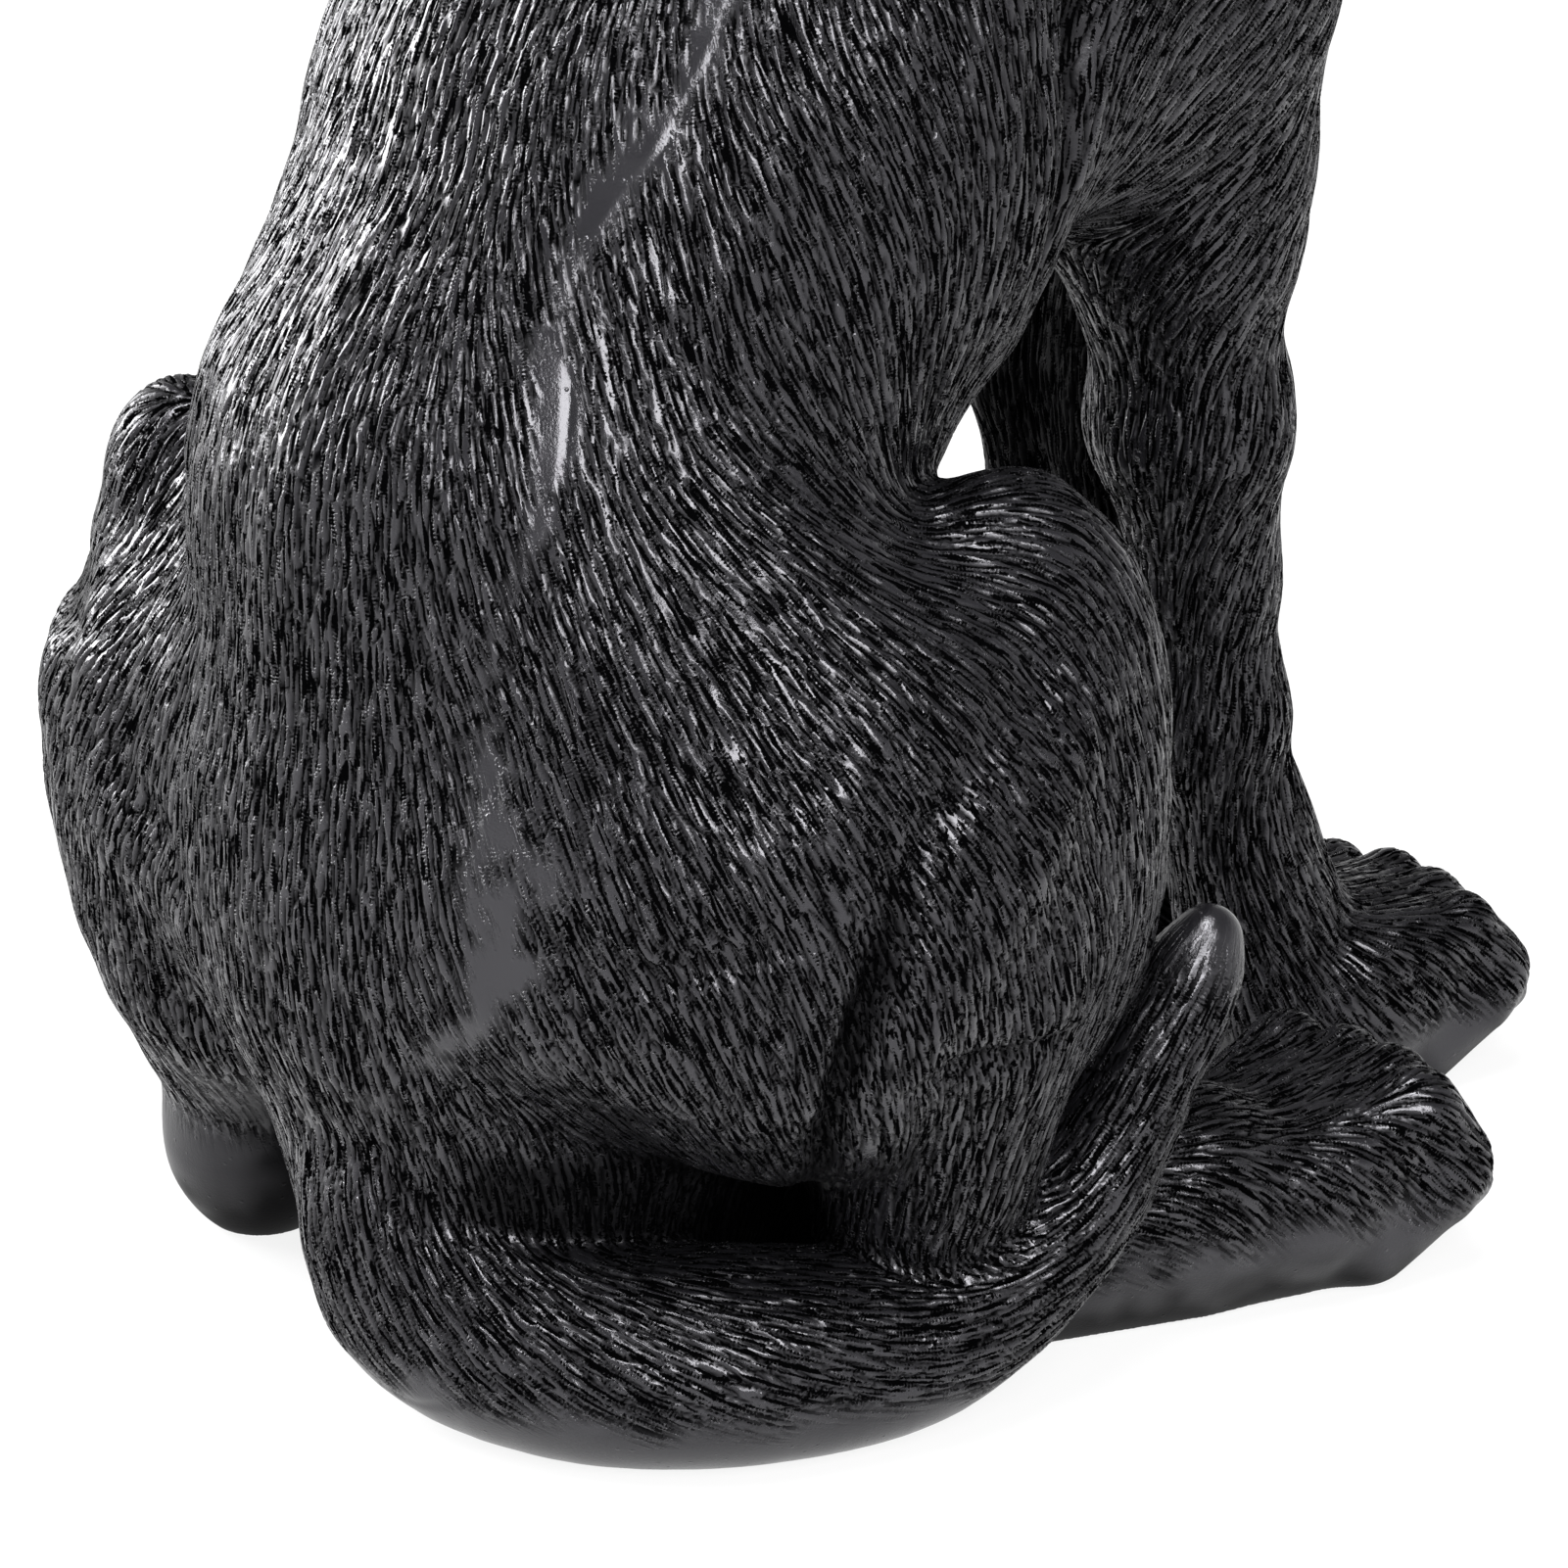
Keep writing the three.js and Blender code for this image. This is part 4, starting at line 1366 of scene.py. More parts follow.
@dataclass
class Castings:
    """The dog's castings, sculpted as one and parted where the real ones are joined."""

    form: DogForm
    shift: np.ndarray
    voxel: float = 1.48
    far_levels: int = 1
    seen_levels: int = 2
    most_faces: int = 84000
    wall: float = 1.2
    view: PhotoView = PhotoView()
    seam: tuple[tuple[float, float], ...] = (
        (77.5, -10),
        (77.5, 70),
        (74, 107),
        (60, 144),
        (36, 181),
        (7, 217),
        (-20, 254),
    )
    putty: tuple[tuple[float, float], ...] = (
        (30, -0.9),
        (50, -0.3),
        (58, 0.7),
        (72, 0.8),
        (83, 0.7),
        (94, 0.5),
        (108, -0.2),
        (118, 0.2),
        (125, 1.4),
        (133, 1.7),
        (142, 0.4),
        (150, 0.8),
        (159, 1.9),
        (166, 0.4),
        (173, 1.6),
        (185, -0.4),
        (230, -0.6),
    )
    neck_height: float = 216.0
    press_turns: int = 6
    relax_turns: int = 4
    press_share: float = 0.9
    probe: float = 0.2
    owner_reach: float = 30.0
    guide_softness: float = 20.0
    comb_turns: int = 14
    feelers: int = 9
    feel_reach: float = 45.0
    feel_lean: float = 1.05
    feel_start: float = 0.6
    feel_limits: tuple[float, float] = (0.15, 0.6)
    blur_turns: int = 4
    least_light: float = 0.1
    tail_light: float = 0.8
    left_foot_light: float = 0.65
    recess_shade: float = 0.95
    under_shade: float = 0.8
    fold_dark: float = 0.8
    fold_limits: tuple[float, float] = (0.5, 2.6)
    spot_area: float = 0.9
    seen_margin: float = 2.6
    seam_groove: float = 0.18
    seam_width: float = 0.45
    eye_ring: float = 1.1
    eye_ring_radius: float = 6.9
    eye_ring_width: float = 1.2
    tail_sole: tuple[float, float] = (7.0, 11.5)
    paw_sole: tuple[float, float] = (9.5, 14.5)
    under_facing: tuple[float, float] = (0.5, 0.8)
    under_height: tuple[float, float] = (25.0, 45.0)
    smooth_tip: tuple[float, float] = (3.0, 10.0)
    smooth_heel: tuple[float, float] = (13.0, 17.0)
    smooth_nose: tuple[float, float] = (9.0, 13.0)
    putty_edge: tuple[float, float] = (-0.5, 0.7)
    putty_set: float = 1.0
    putty_slip: float = 1.6
    putty_slip_height: tuple[float, float] = (86.0, 108.0)
    spine_half: float = 8.0
    back_half: float = 40.0
    chest_set: float = -28.0
    neck_slope: float = 0.26
    neck_rise: float = 7.0
    head_low: float = 248.0
    muzzle_set: float = -62.0
    sight_start: float = 1.5
    edge_on: float = -0.15

    def build(self, resin: bpy.types.Material) -> list[bpy.types.Object]:
        """Models every casting.

        Args:
            resin: The paint on them.

        Returns:
            The finished pieces.
        """
        self.groups = self.form.groups()
        blank = self.blank()
        self.press(blank)
        self.comb(blank)
        pieces = self.part(blank)
        for piece in pieces:
            self.carve(piece)
            piece.data.materials.clear()
            piece.data.materials.append(resin)
        return pieces

    def millimetres(self, piece: bpy.types.Object) -> np.ndarray:
        """A mesh's vertices in the dog's own frame."""
        return places_of(piece) / np.float32(MM) - self.shift.astype(np.float32)

    def put_back(self, piece: bpy.types.Object, points: np.ndarray) -> None:
        """Moves a mesh's vertices to places in the dog's own frame."""
        set_places(piece, (points + self.shift) * MM)

    def blank(self) -> bpy.types.Object:
        """Adds the forms' balls and cones and melts them into one closed mesh.

        Returns:
            The mesh object.
        """
        deselect()
        before = set(bpy.data.objects)
        for clay in self.groups.values():
            clay.add_blank()
        balls = [o for o in bpy.data.objects if o not in before]
        deselect()
        for ball in balls:
            ball.select_set(True)
        bpy.context.view_layer.objects.active = balls[0]
        bpy.ops.object.join()
        blank = bpy.context.view_layer.objects.active
        blank.name = "blank"
        bpy.ops.object.transform_apply(location=True, rotation=True, scale=True)
        apply_modifier(blank, "REMESH", mode="VOXEL", voxel_size=self.voxel * MM, adaptivity=0.0)
        set_places(blank, places_of(blank) + self.shift * MM)
        LOG.info("blank: %d faces", len(blank.data.polygons))
        return blank

    def press(self, blank: bpy.types.Object) -> None:
        """Presses the blank to the clay's smooth surface and keeps the way out at each vertex.

        Args:
            blank: The joined mesh.
        """
        ends = edge_ends(blank)
        points = self.millimetres(blank)
        for turn in range(self.press_turns):
            out = self.way_out(points)
            points = points - out * self.depth_of(points)[:, None] * self.press_share
            if turn < self.relax_turns:
                drift = neighbour_mean(points, ends) - points
                points = points + 0.5 * (drift - out * (drift * out).sum(1, keepdims=True))
        out = self.way_out(points)
        points = points - out * self.depth_of(points)[:, None]
        self.put_back(blank, points)
        keep_values(blank, "way_out", out)

    def depth_of(self, points: np.ndarray) -> np.ndarray:
        """How far points lie outside the dog."""
        return whole_distance(self.groups, points)

    def way_out(self, points: np.ndarray) -> np.ndarray:
        """The clay's outward direction at points.

        Args:
            points: N by 3 places in millimetres.

        Returns:
            N by 3 directions.
        """
        corners = np.array([(1, -1, -1), (-1, -1, 1), (-1, 1, -1), (1, 1, 1)], np.float32)
        total = np.zeros_like(points)
        for corner in corners:
            total += corner * self.depth_of(points + corner * np.float32(self.probe))[:, None]
        return unit(total)

    def owners(self, points: np.ndarray) -> np.ndarray:
        """The name of the part of the dog that each point is nearest to.

        Args:
            points: N by 3 places in millimetres.

        Returns:
            N names.
        """
        names = list(self.groups)
        gaps = np.stack([self.groups[name].near(points, self.owner_reach) for name in names], 1)
        return np.array(names)[gaps.argmin(1)]

    def comb(self, blank: bpy.types.Object) -> None:
        """Lays the fur's ways over the blank and plants the strokes.

        Args:
            blank: The pressed mesh.
        """
        points = self.millimetres(blank)
        out = read_values(blank, "way_out")
        self.owner = self.owners(points)
        way = np.zeros_like(points)
        for name in self.groups:
            rows = np.flatnonzero(self.owner == name)
            places, ways = lay_guides(self.form, name)
            if not len(rows):
                continue
            away = ((points[rows][:, None] - places[None]) ** 2).sum(2)
            weight = 1 / (away + self.guide_softness) ** 2
            way[rows] = (weight[:, :, None] * unit(ways)[None]).sum(1)
        ends = edge_ends(blank)
        for _ in range(self.comb_turns):
            way = unit(way - out * (way * out).sum(1, keepdims=True))
            way = 0.4 * way + 0.6 * neighbour_mean(way, ends)
        way = unit(way - out * (way * out).sum(1, keepdims=True))
        keep_values(blank, "lay", way)
        keep_values(blank, "fur", self.fur_share(points, out))
        keep_values(blank, "swell", self.swell(points))
        # Painted shade: recesses, folds, the hollows between the front legs and under the thigh, and the
        # left foot are painted darker.
        keep_values(blank, "light", self.openness(blank, out, ends) * self.fold_shade(points))
        self.plant(blank, points, way, out)

    def openness(self, blank: bpy.types.Object, out: np.ndarray, ends: np.ndarray) -> np.ndarray:
        """How clear of deep recesses the skin is, as painted shade: the paint is rougher there and is
        painted darker in recesses, under the thigh, between the front legs and on the left foot.

        Args:
            blank: The pressed mesh.
            out: The way out at each vertex.
            ends: The edges' ends.

        Returns:
            N shares, 0 in a deep hollow.
        """
        share = (self.clear_feelers(blank, out) / self.feelers)[:, None]
        for _ in range(self.blur_turns):
            share = 0.4 * share + 0.6 * neighbour_mean(share, ends)
        shade = self.recess(self.millimetres(blank), out)[:, None].astype(np.float32)
        for _ in range(self.blur_turns):
            shade = 0.5 * shade + 0.5 * neighbour_mean(shade, ends)
        light = self.least_light + (1 - self.least_light) * soft_step(*self.feel_limits, share[:, 0])
        # Painted light: the tail is kept lighter and the left foot is painted darker.
        light = np.where(self.owner == "tail", np.maximum(light, self.tail_light), light)
        light = np.where(self.owner == "left_foot", self.left_foot_light * light, light)
        return light * (1 - self.recess_shade * shade[:, 0])

    def clear_feelers(self, blank: bpy.types.Object, out: np.ndarray) -> np.ndarray:
        """How many of the short feelers round each vertex's way out meet neither skin nor floor.

        Args:
            blank: The pressed mesh.
            out: The way out at each vertex.

        Returns:
            N counts.
        """
        tree = BVHTree.FromObject(blank, bpy.context.evaluated_depsgraph_get())
        draw = np.random.default_rng(3)
        spread = unit(draw.normal(0, 1, (len(out), self.feelers, 3)).reshape(-1, 3))
        ways = spread.reshape(-1, self.feelers, 3) + self.feel_lean * out[:, None]
        starts = places_of(blank) + out * np.float32(self.feel_start * MM)
        reach = self.feel_reach * MM
        drop = starts[:, None, 2] + reach * unit(ways.reshape(-1, 3)).reshape(ways.shape)[:, :, 2]
        clear = np.zeros(len(out), np.float32)
        rows = zip(starts.tolist(), ways.tolist(), (drop > 0).tolist())
        for n, (start, row, ends_above) in enumerate(rows):
            clear[n] = sum(
                above and tree.ray_cast(start, way, reach)[0] is None
                for way, above in zip(row, ends_above)
            )
        return clear

    def recess(self, points: np.ndarray, out: np.ndarray) -> np.ndarray:
        """How deep in shade the skin between the front legs and under the thigh is.

        Args:
            points: N by 3 places in millimetres.
            out: The way out there.

        Returns:
            N shares.
        """
        x, y, z = points.T
        hidden = np.isin(self.owner, ["left_leg", "web"]) & (z > 45)
        hidden |= (self.owner == "trunk") & (z < 150) & (y < -20) & (x > -12)
        facing = soft_step(-0.2, 0.4, (out[:, 1] - out[:, 0]) * DIAGONAL)
        sideways = (x + y) * -DIAGONAL
        under = np.isin(self.owner, ["trunk", "right_haunch", "right_foot"]) & (z < 40)
        under &= (y > 20) & (sideways > -38) & (sideways < 3)
        # Painted shade, strongest where the skin faces towards -X and +Y.
        return np.where(hidden, facing, np.where(under, self.under_shade * facing, 0))

    def fold_shade(self, points: np.ndarray) -> np.ndarray:
        """How much light reaches the skin in the folds.

        Args:
            points: N by 3 places in millimetres.

        Returns:
            N shares.
        """
        cut = sum(np.maximum(fold.press(points), 0) for fold in FOLDS)
        # painted shade in the folds
        return 1 - self.fold_dark * soft_step(*self.fold_limits, cut)

    def swell(self, points: np.ndarray) -> np.ndarray:
        """How far the modelled muscles and folds lift the skin.

        Args:
            points: N by 3 places in millimetres.

        Returns:
            N heights.
        """
        lift = 0.55 * cloud(points, 17, 5.3) + 0.25 * cloud(points, 7, 1.9)
        lift = lift * soft_step(2, 20, points[:, 2])
        for fold in FOLDS:
            lift = lift - fold.press(points)
        for side in Side:
            low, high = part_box(side.word + "_eye")
            eye = np.array((low + high) / 2) / MM - self.shift
            away = np.linalg.norm(points - eye, axis=1)
            ring = (away - self.eye_ring_radius) / self.eye_ring_width
            lift = lift + self.eye_ring * np.exp(-(ring**2))
        return lift.astype(np.float32)

    def plant(
        self, blank: bpy.types.Object, points: np.ndarray, way: np.ndarray, out: np.ndarray
    ) -> None:
        """Spreads the strokes evenly over the blank.

        Args:
            blank: The pressed mesh.
            points: Its vertices in millimetres.
            way: The fur's way at each vertex.
            out: The way out at each vertex.
        """
        mesh = blank.data
        mesh.calc_loop_triangles()
        flat = np.empty(len(mesh.loop_triangles) * 3, np.int32)
        mesh.loop_triangles.foreach_get("vertices", flat)
        corners = flat.reshape(-1, 3)
        a, b, c = (points[corners[:, n]] for n in range(3))
        area = np.linalg.norm(np.cross(b - a, c - a), axis=1) / 2
        draw = np.random.default_rng(11)
        count = int(area.sum() / self.spot_area)
        picked = draw.choice(len(area), count, p=area / area.sum())
        one, two = draw.random((2, count, 1)).astype(np.float32)
        fold = (one + two) > 1
        one, two = np.where(fold, 1 - one, one), np.where(fold, 1 - two, two)
        spots = a[picked] + one * (b[picked] - a[picked]) + two * (c[picked] - a[picked])
        near = corners[picked, 0]
        self.coat = FurCoat()
        strokes = self.coat.plant(spots, way[near], out[near])
        LOG.info("skin %.0f mm2, %d strokes", area.sum(), strokes)

    def seam_gap(self, points: np.ndarray) -> np.ndarray:
        """How far points lie behind the seam on the flanks.

        Args:
            points: N by 3 places in millimetres.

        Returns:
            N distances, negative in front.
        """
        heights = [z for _, z in self.seam]
        depths = [y for y, _ in self.seam]
        return points[:, 1] - np.interp(points[:, 2], heights, depths).astype(np.float32)

    def fur_share(self, points: np.ndarray, out: np.ndarray) -> np.ndarray:
        """How much of the fur's depth shows, from 0 on smooth skin to 1.

        Args:
            points: N by 3 places in millimetres.
            out: The way out there.

        Returns:
            N shares.
        """
        height = points[:, 2] + 2.5 * cloud(points, 7, 3.1)
        paws = np.isin(self.owner, ["right_foot", "left_foot", "right_leg", "left_leg"])
        share = np.where(self.owner == "tail", soft_step(*self.tail_sole, height), 1.0)
        share = np.where(paws, soft_step(*self.paw_sole, height), share)
        low = 1 - soft_step(*self.under_height, points[:, 2])
        share = share * (1 - soft_step(*self.under_facing, -out[:, 2]) * low)
        tip = np.linalg.norm(points - np.float32(self.form.tail_path[-1]), axis=1)
        share = share * np.where(self.owner == "tail", soft_step(*self.smooth_tip, tip), 1)
        heel = np.linalg.norm(points - np.float32(self.form.heel(Side.LEFT)), axis=1)
        share = share * soft_step(*self.smooth_heel, heel)
        nose = np.linalg.norm(points - np.float32(self.form.head_spot(0, -66, -4)), axis=1)
        share = share * soft_step(*self.smooth_nose, nose)
        heights, widths = zip(*self.putty)
        width = np.interp(points[:, 2], heights, widths)
        width = width + 0.9 * cloud(points, 6, 8.7) + 0.7 * cloud(points, 2.5, 4.2)
        width = np.where(points[:, 0] < 0, width, 0.2 * width - 1)
        slip = 1 - soft_step(*self.putty_slip_height, points[:, 2])
        behind = self.putty_set + self.putty_slip * slip
        putty = soft_step(*self.putty_edge, np.abs(self.seam_gap(points) - behind) - width)
        on_seam = (points[:, 2] < self.neck_height) & (np.abs(points[:, 0]) > self.spine_half)
        on_seam &= np.isin(self.owner, ["trunk", "right_haunch", "left_haunch"])
        return (share * np.where(on_seam, putty, 1)).astype(np.float32)

    def part(self, blank: bpy.types.Object) -> list[bpy.types.Object]:
        """Cuts the pressed blank into its castings and closes each cut.

        Args:
            blank: The pressed mesh.

        Returns:
            The pieces, one or more for each region.
        """
        mesh = blank.data
        middles = np.empty(len(mesh.polygons) * 3, np.float32)
        mesh.polygons.foreach_get("center", middles)
        middles = middles.reshape(-1, 3) / np.float32(MM) - self.shift.astype(np.float32)
        seen = self.seen(blank, middles)
        self.mark_border(blank, seen)
        labels, keys = self.share_out(self.label(middles), seen, middles)
        keep = mesh.attributes.new("part", "INT", "FACE")
        keep.data.foreach_set("value", labels.astype(np.int32) + 1)
        pieces = []
        for number, (region, fine) in enumerate(keys):
            numbers = np.empty(len(blank.data.polygons), np.int32)
            blank.data.attributes["part"].data.foreach_get("value", numbers)
            chosen = numbers == number + 1
            only(blank)
            bpy.ops.object.mode_set(mode="EDIT")
            bpy.ops.mesh.select_mode(type="FACE")
            bpy.ops.mesh.select_all(action="DESELECT")
            bpy.ops.object.mode_set(mode="OBJECT")
            blank.data.polygons.foreach_set("select", chosen)
            piece = blank
            if not chosen.all():
                bpy.ops.object.mode_set(mode="EDIT")
                bpy.ops.mesh.separate(type="SELECTED")
                bpy.ops.object.mode_set(mode="OBJECT")
                piece = next(o for o in bpy.context.selected_objects if o is not blank)
            piece.name = f"{region.word}_casting_{number}"
            piece["region"], piece["seen"] = region.name, fine
            self.close(piece)
            pieces.append(piece)
        return pieces

    def seen(self, blank: bpy.types.Object, middles: np.ndarray) -> np.ndarray:
        """Which faces the photograph shows, with a margin.

        Args:
            blank: The pressed mesh.
            middles: The faces' middles in millimetres.

        Returns:
            True or False for each face.
        """
        tree = BVHTree.FromObject(blank, bpy.context.evaluated_depsgraph_get())
        flat = np.empty(len(middles) * 3, np.float32)
        blank.data.polygons.foreach_get("normal", flat)
        out = flat.reshape(-1, 3)
        way = unit(np.array(self.view.place) - middles)
        start = (middles + self.shift + self.sight_start * out + self.sight_start * way) * MM
        open_way = ((out * way).sum(1) > self.edge_on) & self.view.shows(middles)
        for n in np.flatnonzero(open_way):
            hit = tree.ray_cast(Vector(start[n]), Vector(way[n]))
            open_way[n] = hit[0] is None
        grid = SpotGrid(middles, self.seen_margin)
        found = np.zeros(len(middles), bool)
        for rows, others in grid.near(middles):
            found[rows] = open_way[others].any()
        return found

    def mark_border(self, blank: bpy.types.Object, seen: np.ndarray) -> None:
        """Keeps which vertices lie between the finely and the coarsely cut faces.

        Args:
            blank: The pressed mesh.
            seen: Whether each face is cut finely.
        """
        corners = np.empty(len(blank.data.loops), np.int32)
        blank.data.loops.foreach_get("vertex_index", corners)
        sides = np.empty(len(blank.data.polygons), np.int32)
        blank.data.polygons.foreach_get("loop_total", sides)
        flags = np.repeat(seen, sides)
        count = len(blank.data.vertices)
        fine = np.bincount(corners[flags], minlength=count) > 0
        coarse = np.bincount(corners[~flags], minlength=count) > 0
        keep_values(blank, "border", (fine & coarse).astype(np.float32))

    def share_out(
        self, labels: np.ndarray, seen: np.ndarray, middles: np.ndarray
    ) -> tuple[np.ndarray, list[tuple[Region, bool]]]:
        """Splits the regions by what the photograph shows, and again where a part is too large.

        Args:
            labels: Each face's region.
            seen: Whether each face shows.
            middles: The faces' middles.

        Returns:
            Each face's part, and the region and detail of each part.
        """
        parts = np.zeros(len(labels), np.int32)
        keys: list[tuple[Region, bool]] = []
        waiting = [
            (region, flag, np.flatnonzero((labels == number) & (seen == flag)))
            for number, region in enumerate(Region)
            for flag in (True, False)
        ]
        while waiting:
            region, flag, rows = waiting.pop(0)
            levels = self.seen_levels if flag else self.far_levels
            if not len(rows):
                continue
            if len(rows) * 4**levels > self.most_faces:
                spots = middles[rows]
                axis = np.ptp(spots, axis=0).argmax()
                high = spots[:, axis] > np.median(spots[:, axis])
                waiting += [(region, flag, rows[high]), (region, flag, rows[~high])]
                continue
            parts[rows] = len(keys)
            keys.append((region, flag))
        return parts, keys

    def label(self, middles: np.ndarray) -> np.ndarray:
        """The number of the region that each face belongs to.

        Args:
            middles: The faces' middles in millimetres.

        Returns:
            A number for each face.
        """
        owner = self.owners(middles)
        regions = list(Region)
        found = np.zeros(len(middles), np.int32)
        x, y, z = middles.T

        def put(region: Region, mask: np.ndarray) -> None:
            """Gives the masked faces to a region."""
            found[mask] = regions.index(region)

        body = np.isin(owner, ["trunk", "right_haunch", "left_haunch"])
        put(Region.RIGHT_FLANK, (owner == "trunk") & (x < 0))
        put(Region.LEFT_FLANK, (owner == "trunk") & (x >= 0))
        put(Region.CHEST, (owner == "trunk") & (y < self.chest_set))
        put(Region.RIGHT_HAUNCH, owner == "right_haunch")
        put(Region.LEFT_HAUNCH, owner == "left_haunch")
        put(Region.BACK, body & (self.seam_gap(middles) > 0) & (np.abs(x) < self.back_half))
        for side in Side:
            word = side.name
            put(Region[word + "_LEG"], (owner == side.word + "_leg") & (z < self.form.elbow_height))
            put(Region.CHEST, (owner == side.word + "_leg") & (z >= self.form.elbow_height))
            put(Region[word + "_FOOT"], owner == side.word + "_foot")
        put(Region.WEB, owner == "web")
        put(Region.TAIL, owner == "tail")
        head = z > self.neck_height + self.neck_slope * y + self.neck_rise
        put(Region.NECK, head & np.isin(owner, ["trunk", "head"]))
        skull = (z > self.head_low) | (y < self.muzzle_set)
        put(Region.HEAD, head & (owner == "head") & skull)
        return found

    def close(self, piece: bpy.types.Object) -> None:
        """Gives a piece the wall of a hollow casting, which closes it.

        Args:
            piece: The mesh object.
        """
        self.part_corners(piece)
        skin_faces, skin_points = len(piece.data.polygons), len(piece.data.vertices)
        apply_modifier(piece, "SOLIDIFY", thickness=self.wall * MM, offset=-1.0, use_rim=True)
        numbers = np.zeros(len(piece.data.polygons), np.int32)
        numbers[:skin_faces] = 1
        piece.data.attributes["part"].data.foreach_set("value", numbers)
        inside = np.arange(len(piece.data.vertices)) >= skin_points
        keep_values(piece, "inside", inside.astype(np.float32))

    @staticmethod
    def part_corners(piece: bpy.types.Object) -> None:
        """Parts the corners where two patches of a piece touch at one vertex.

        Args:
            piece: The mesh object.
        """
        skin = bmesh.new()
        skin.from_mesh(piece.data)
        for vertex in list(skin.verts):
            rims = [edge for edge in vertex.link_edges if edge.is_boundary]
            if len(rims) > 2:
                bmesh.utils.vert_separate(vertex, rims)
        skin.to_mesh(piece.data)
        skin.free()

    def pick(self, piece: bpy.types.Object, skin: bool) -> None:
        """Goes into edit mode with either the skin's faces or the wall's selected.

        Args:
            piece: The mesh object.
            skin: Whether the skin is selected.
        """
        numbers = np.empty(len(piece.data.polygons), np.int32)
        piece.data.attributes["part"].data.foreach_get("value", numbers)
        only(piece)
        bpy.ops.object.mode_set(mode="EDIT")
        bpy.ops.mesh.select_mode(type="FACE")
        bpy.ops.mesh.select_all(action="DESELECT")
        bpy.ops.object.mode_set(mode="OBJECT")
        piece.data.polygons.foreach_set("select", (numbers > 0) == skin)
        bpy.ops.object.mode_set(mode="EDIT")
        bpy.ops.mesh.select_mode(type="FACE")

    def carve(self, piece: bpy.types.Object) -> None:
        """Refines a piece step by step and carves its folds, seam and fur.

        Args:
            piece: The mesh object.
        """
        levels = self.seen_levels if piece["seen"] else self.far_levels
        levels = levels
        for level in range(levels):
            self.pick(piece, True)
            bpy.ops.mesh.subdivide(number_cuts=1)
            bpy.ops.object.mode_set(mode="OBJECT")
            if level == self.far_levels - 1:
                keep_values(piece, "coarse_move", self.moves(piece)[0])
        move, ridge = self.moves(piece)
        border = read_values(piece, "border")[:, None] > 0.999
        move = np.where(border, read_values(piece, "coarse_move"), move)
        points = self.millimetres(piece) + move
        points[:, 2] = np.maximum(points[:, 2], BASE_HEIGHT)
        self.put_back(piece, points)
        # The ridge attribute paints shade: dark in the fur's grooves and in the painted shade of
        # recesses and folds.
        keep_values(piece, "ridge", ridge)
        self.finish_rim(piece)
        drop_values(piece, "way_out", "swell", "light", "part", "border", "coarse_move", "inside")
        LOG.info("%s: %d faces", piece.name, len(piece.data.polygons))

    def moves(self, piece: bpy.types.Object) -> tuple[np.ndarray, np.ndarray]:
        """How the carving moves each vertex of a piece.

        Args:
            piece: The refined piece.

        Returns:
            N by 3 moves in millimetres, and N shares of painted light, from 0 in a groove to 1 beside
            it, lowered where recesses and folds are painted as shade.
        """
        points = self.millimetres(piece)
        out = unit(read_values(piece, "way_out"))
        fur = read_values(piece, "fur")
        depth = self.depth_of(points)
        height, ridge = self.coat.relief(points, out)
        swell = read_values(piece, "swell")
        rise = height * fur + swell
        on_seam = (points[:, 2] < self.neck_height - 2) & (np.abs(points[:, 0]) > self.spine_half)
        groove = self.seam_groove * np.exp(-((self.seam_gap(points) / self.seam_width) ** 2))
        rise = rise - np.where(on_seam, groove, 0)
        rise = np.where(read_values(piece, "inside") > 0.5, swell, rise - depth)
        return out * rise[:, None], (1 - fur * (1 - ridge)) * read_values(piece, "light")

    def finish_rim(self, piece: bpy.types.Object) -> None:
        """Shades a piece smooth, with hard edges round its cuts.

        Args:
            piece: The mesh object.
        """
        self.pick(piece, False)
        bpy.ops.mesh.region_to_loop()
        bpy.ops.mesh.mark_sharp()
        bpy.ops.mesh.select_mode(type="FACE")
        bpy.ops.object.mode_set(mode="OBJECT")
        bpy.ops.object.shade_smooth(keep_sharp_edges=True)


def both_sides(line: tuple[Point, ...], width: float, depth: float) -> list[Fold]:
    """A fold on the right side and its mirror on the left."""
    mirror = tuple((-x, y, z) for x, y, z in line)
    return [Fold(line, width, depth), Fold(mirror, width, depth)]


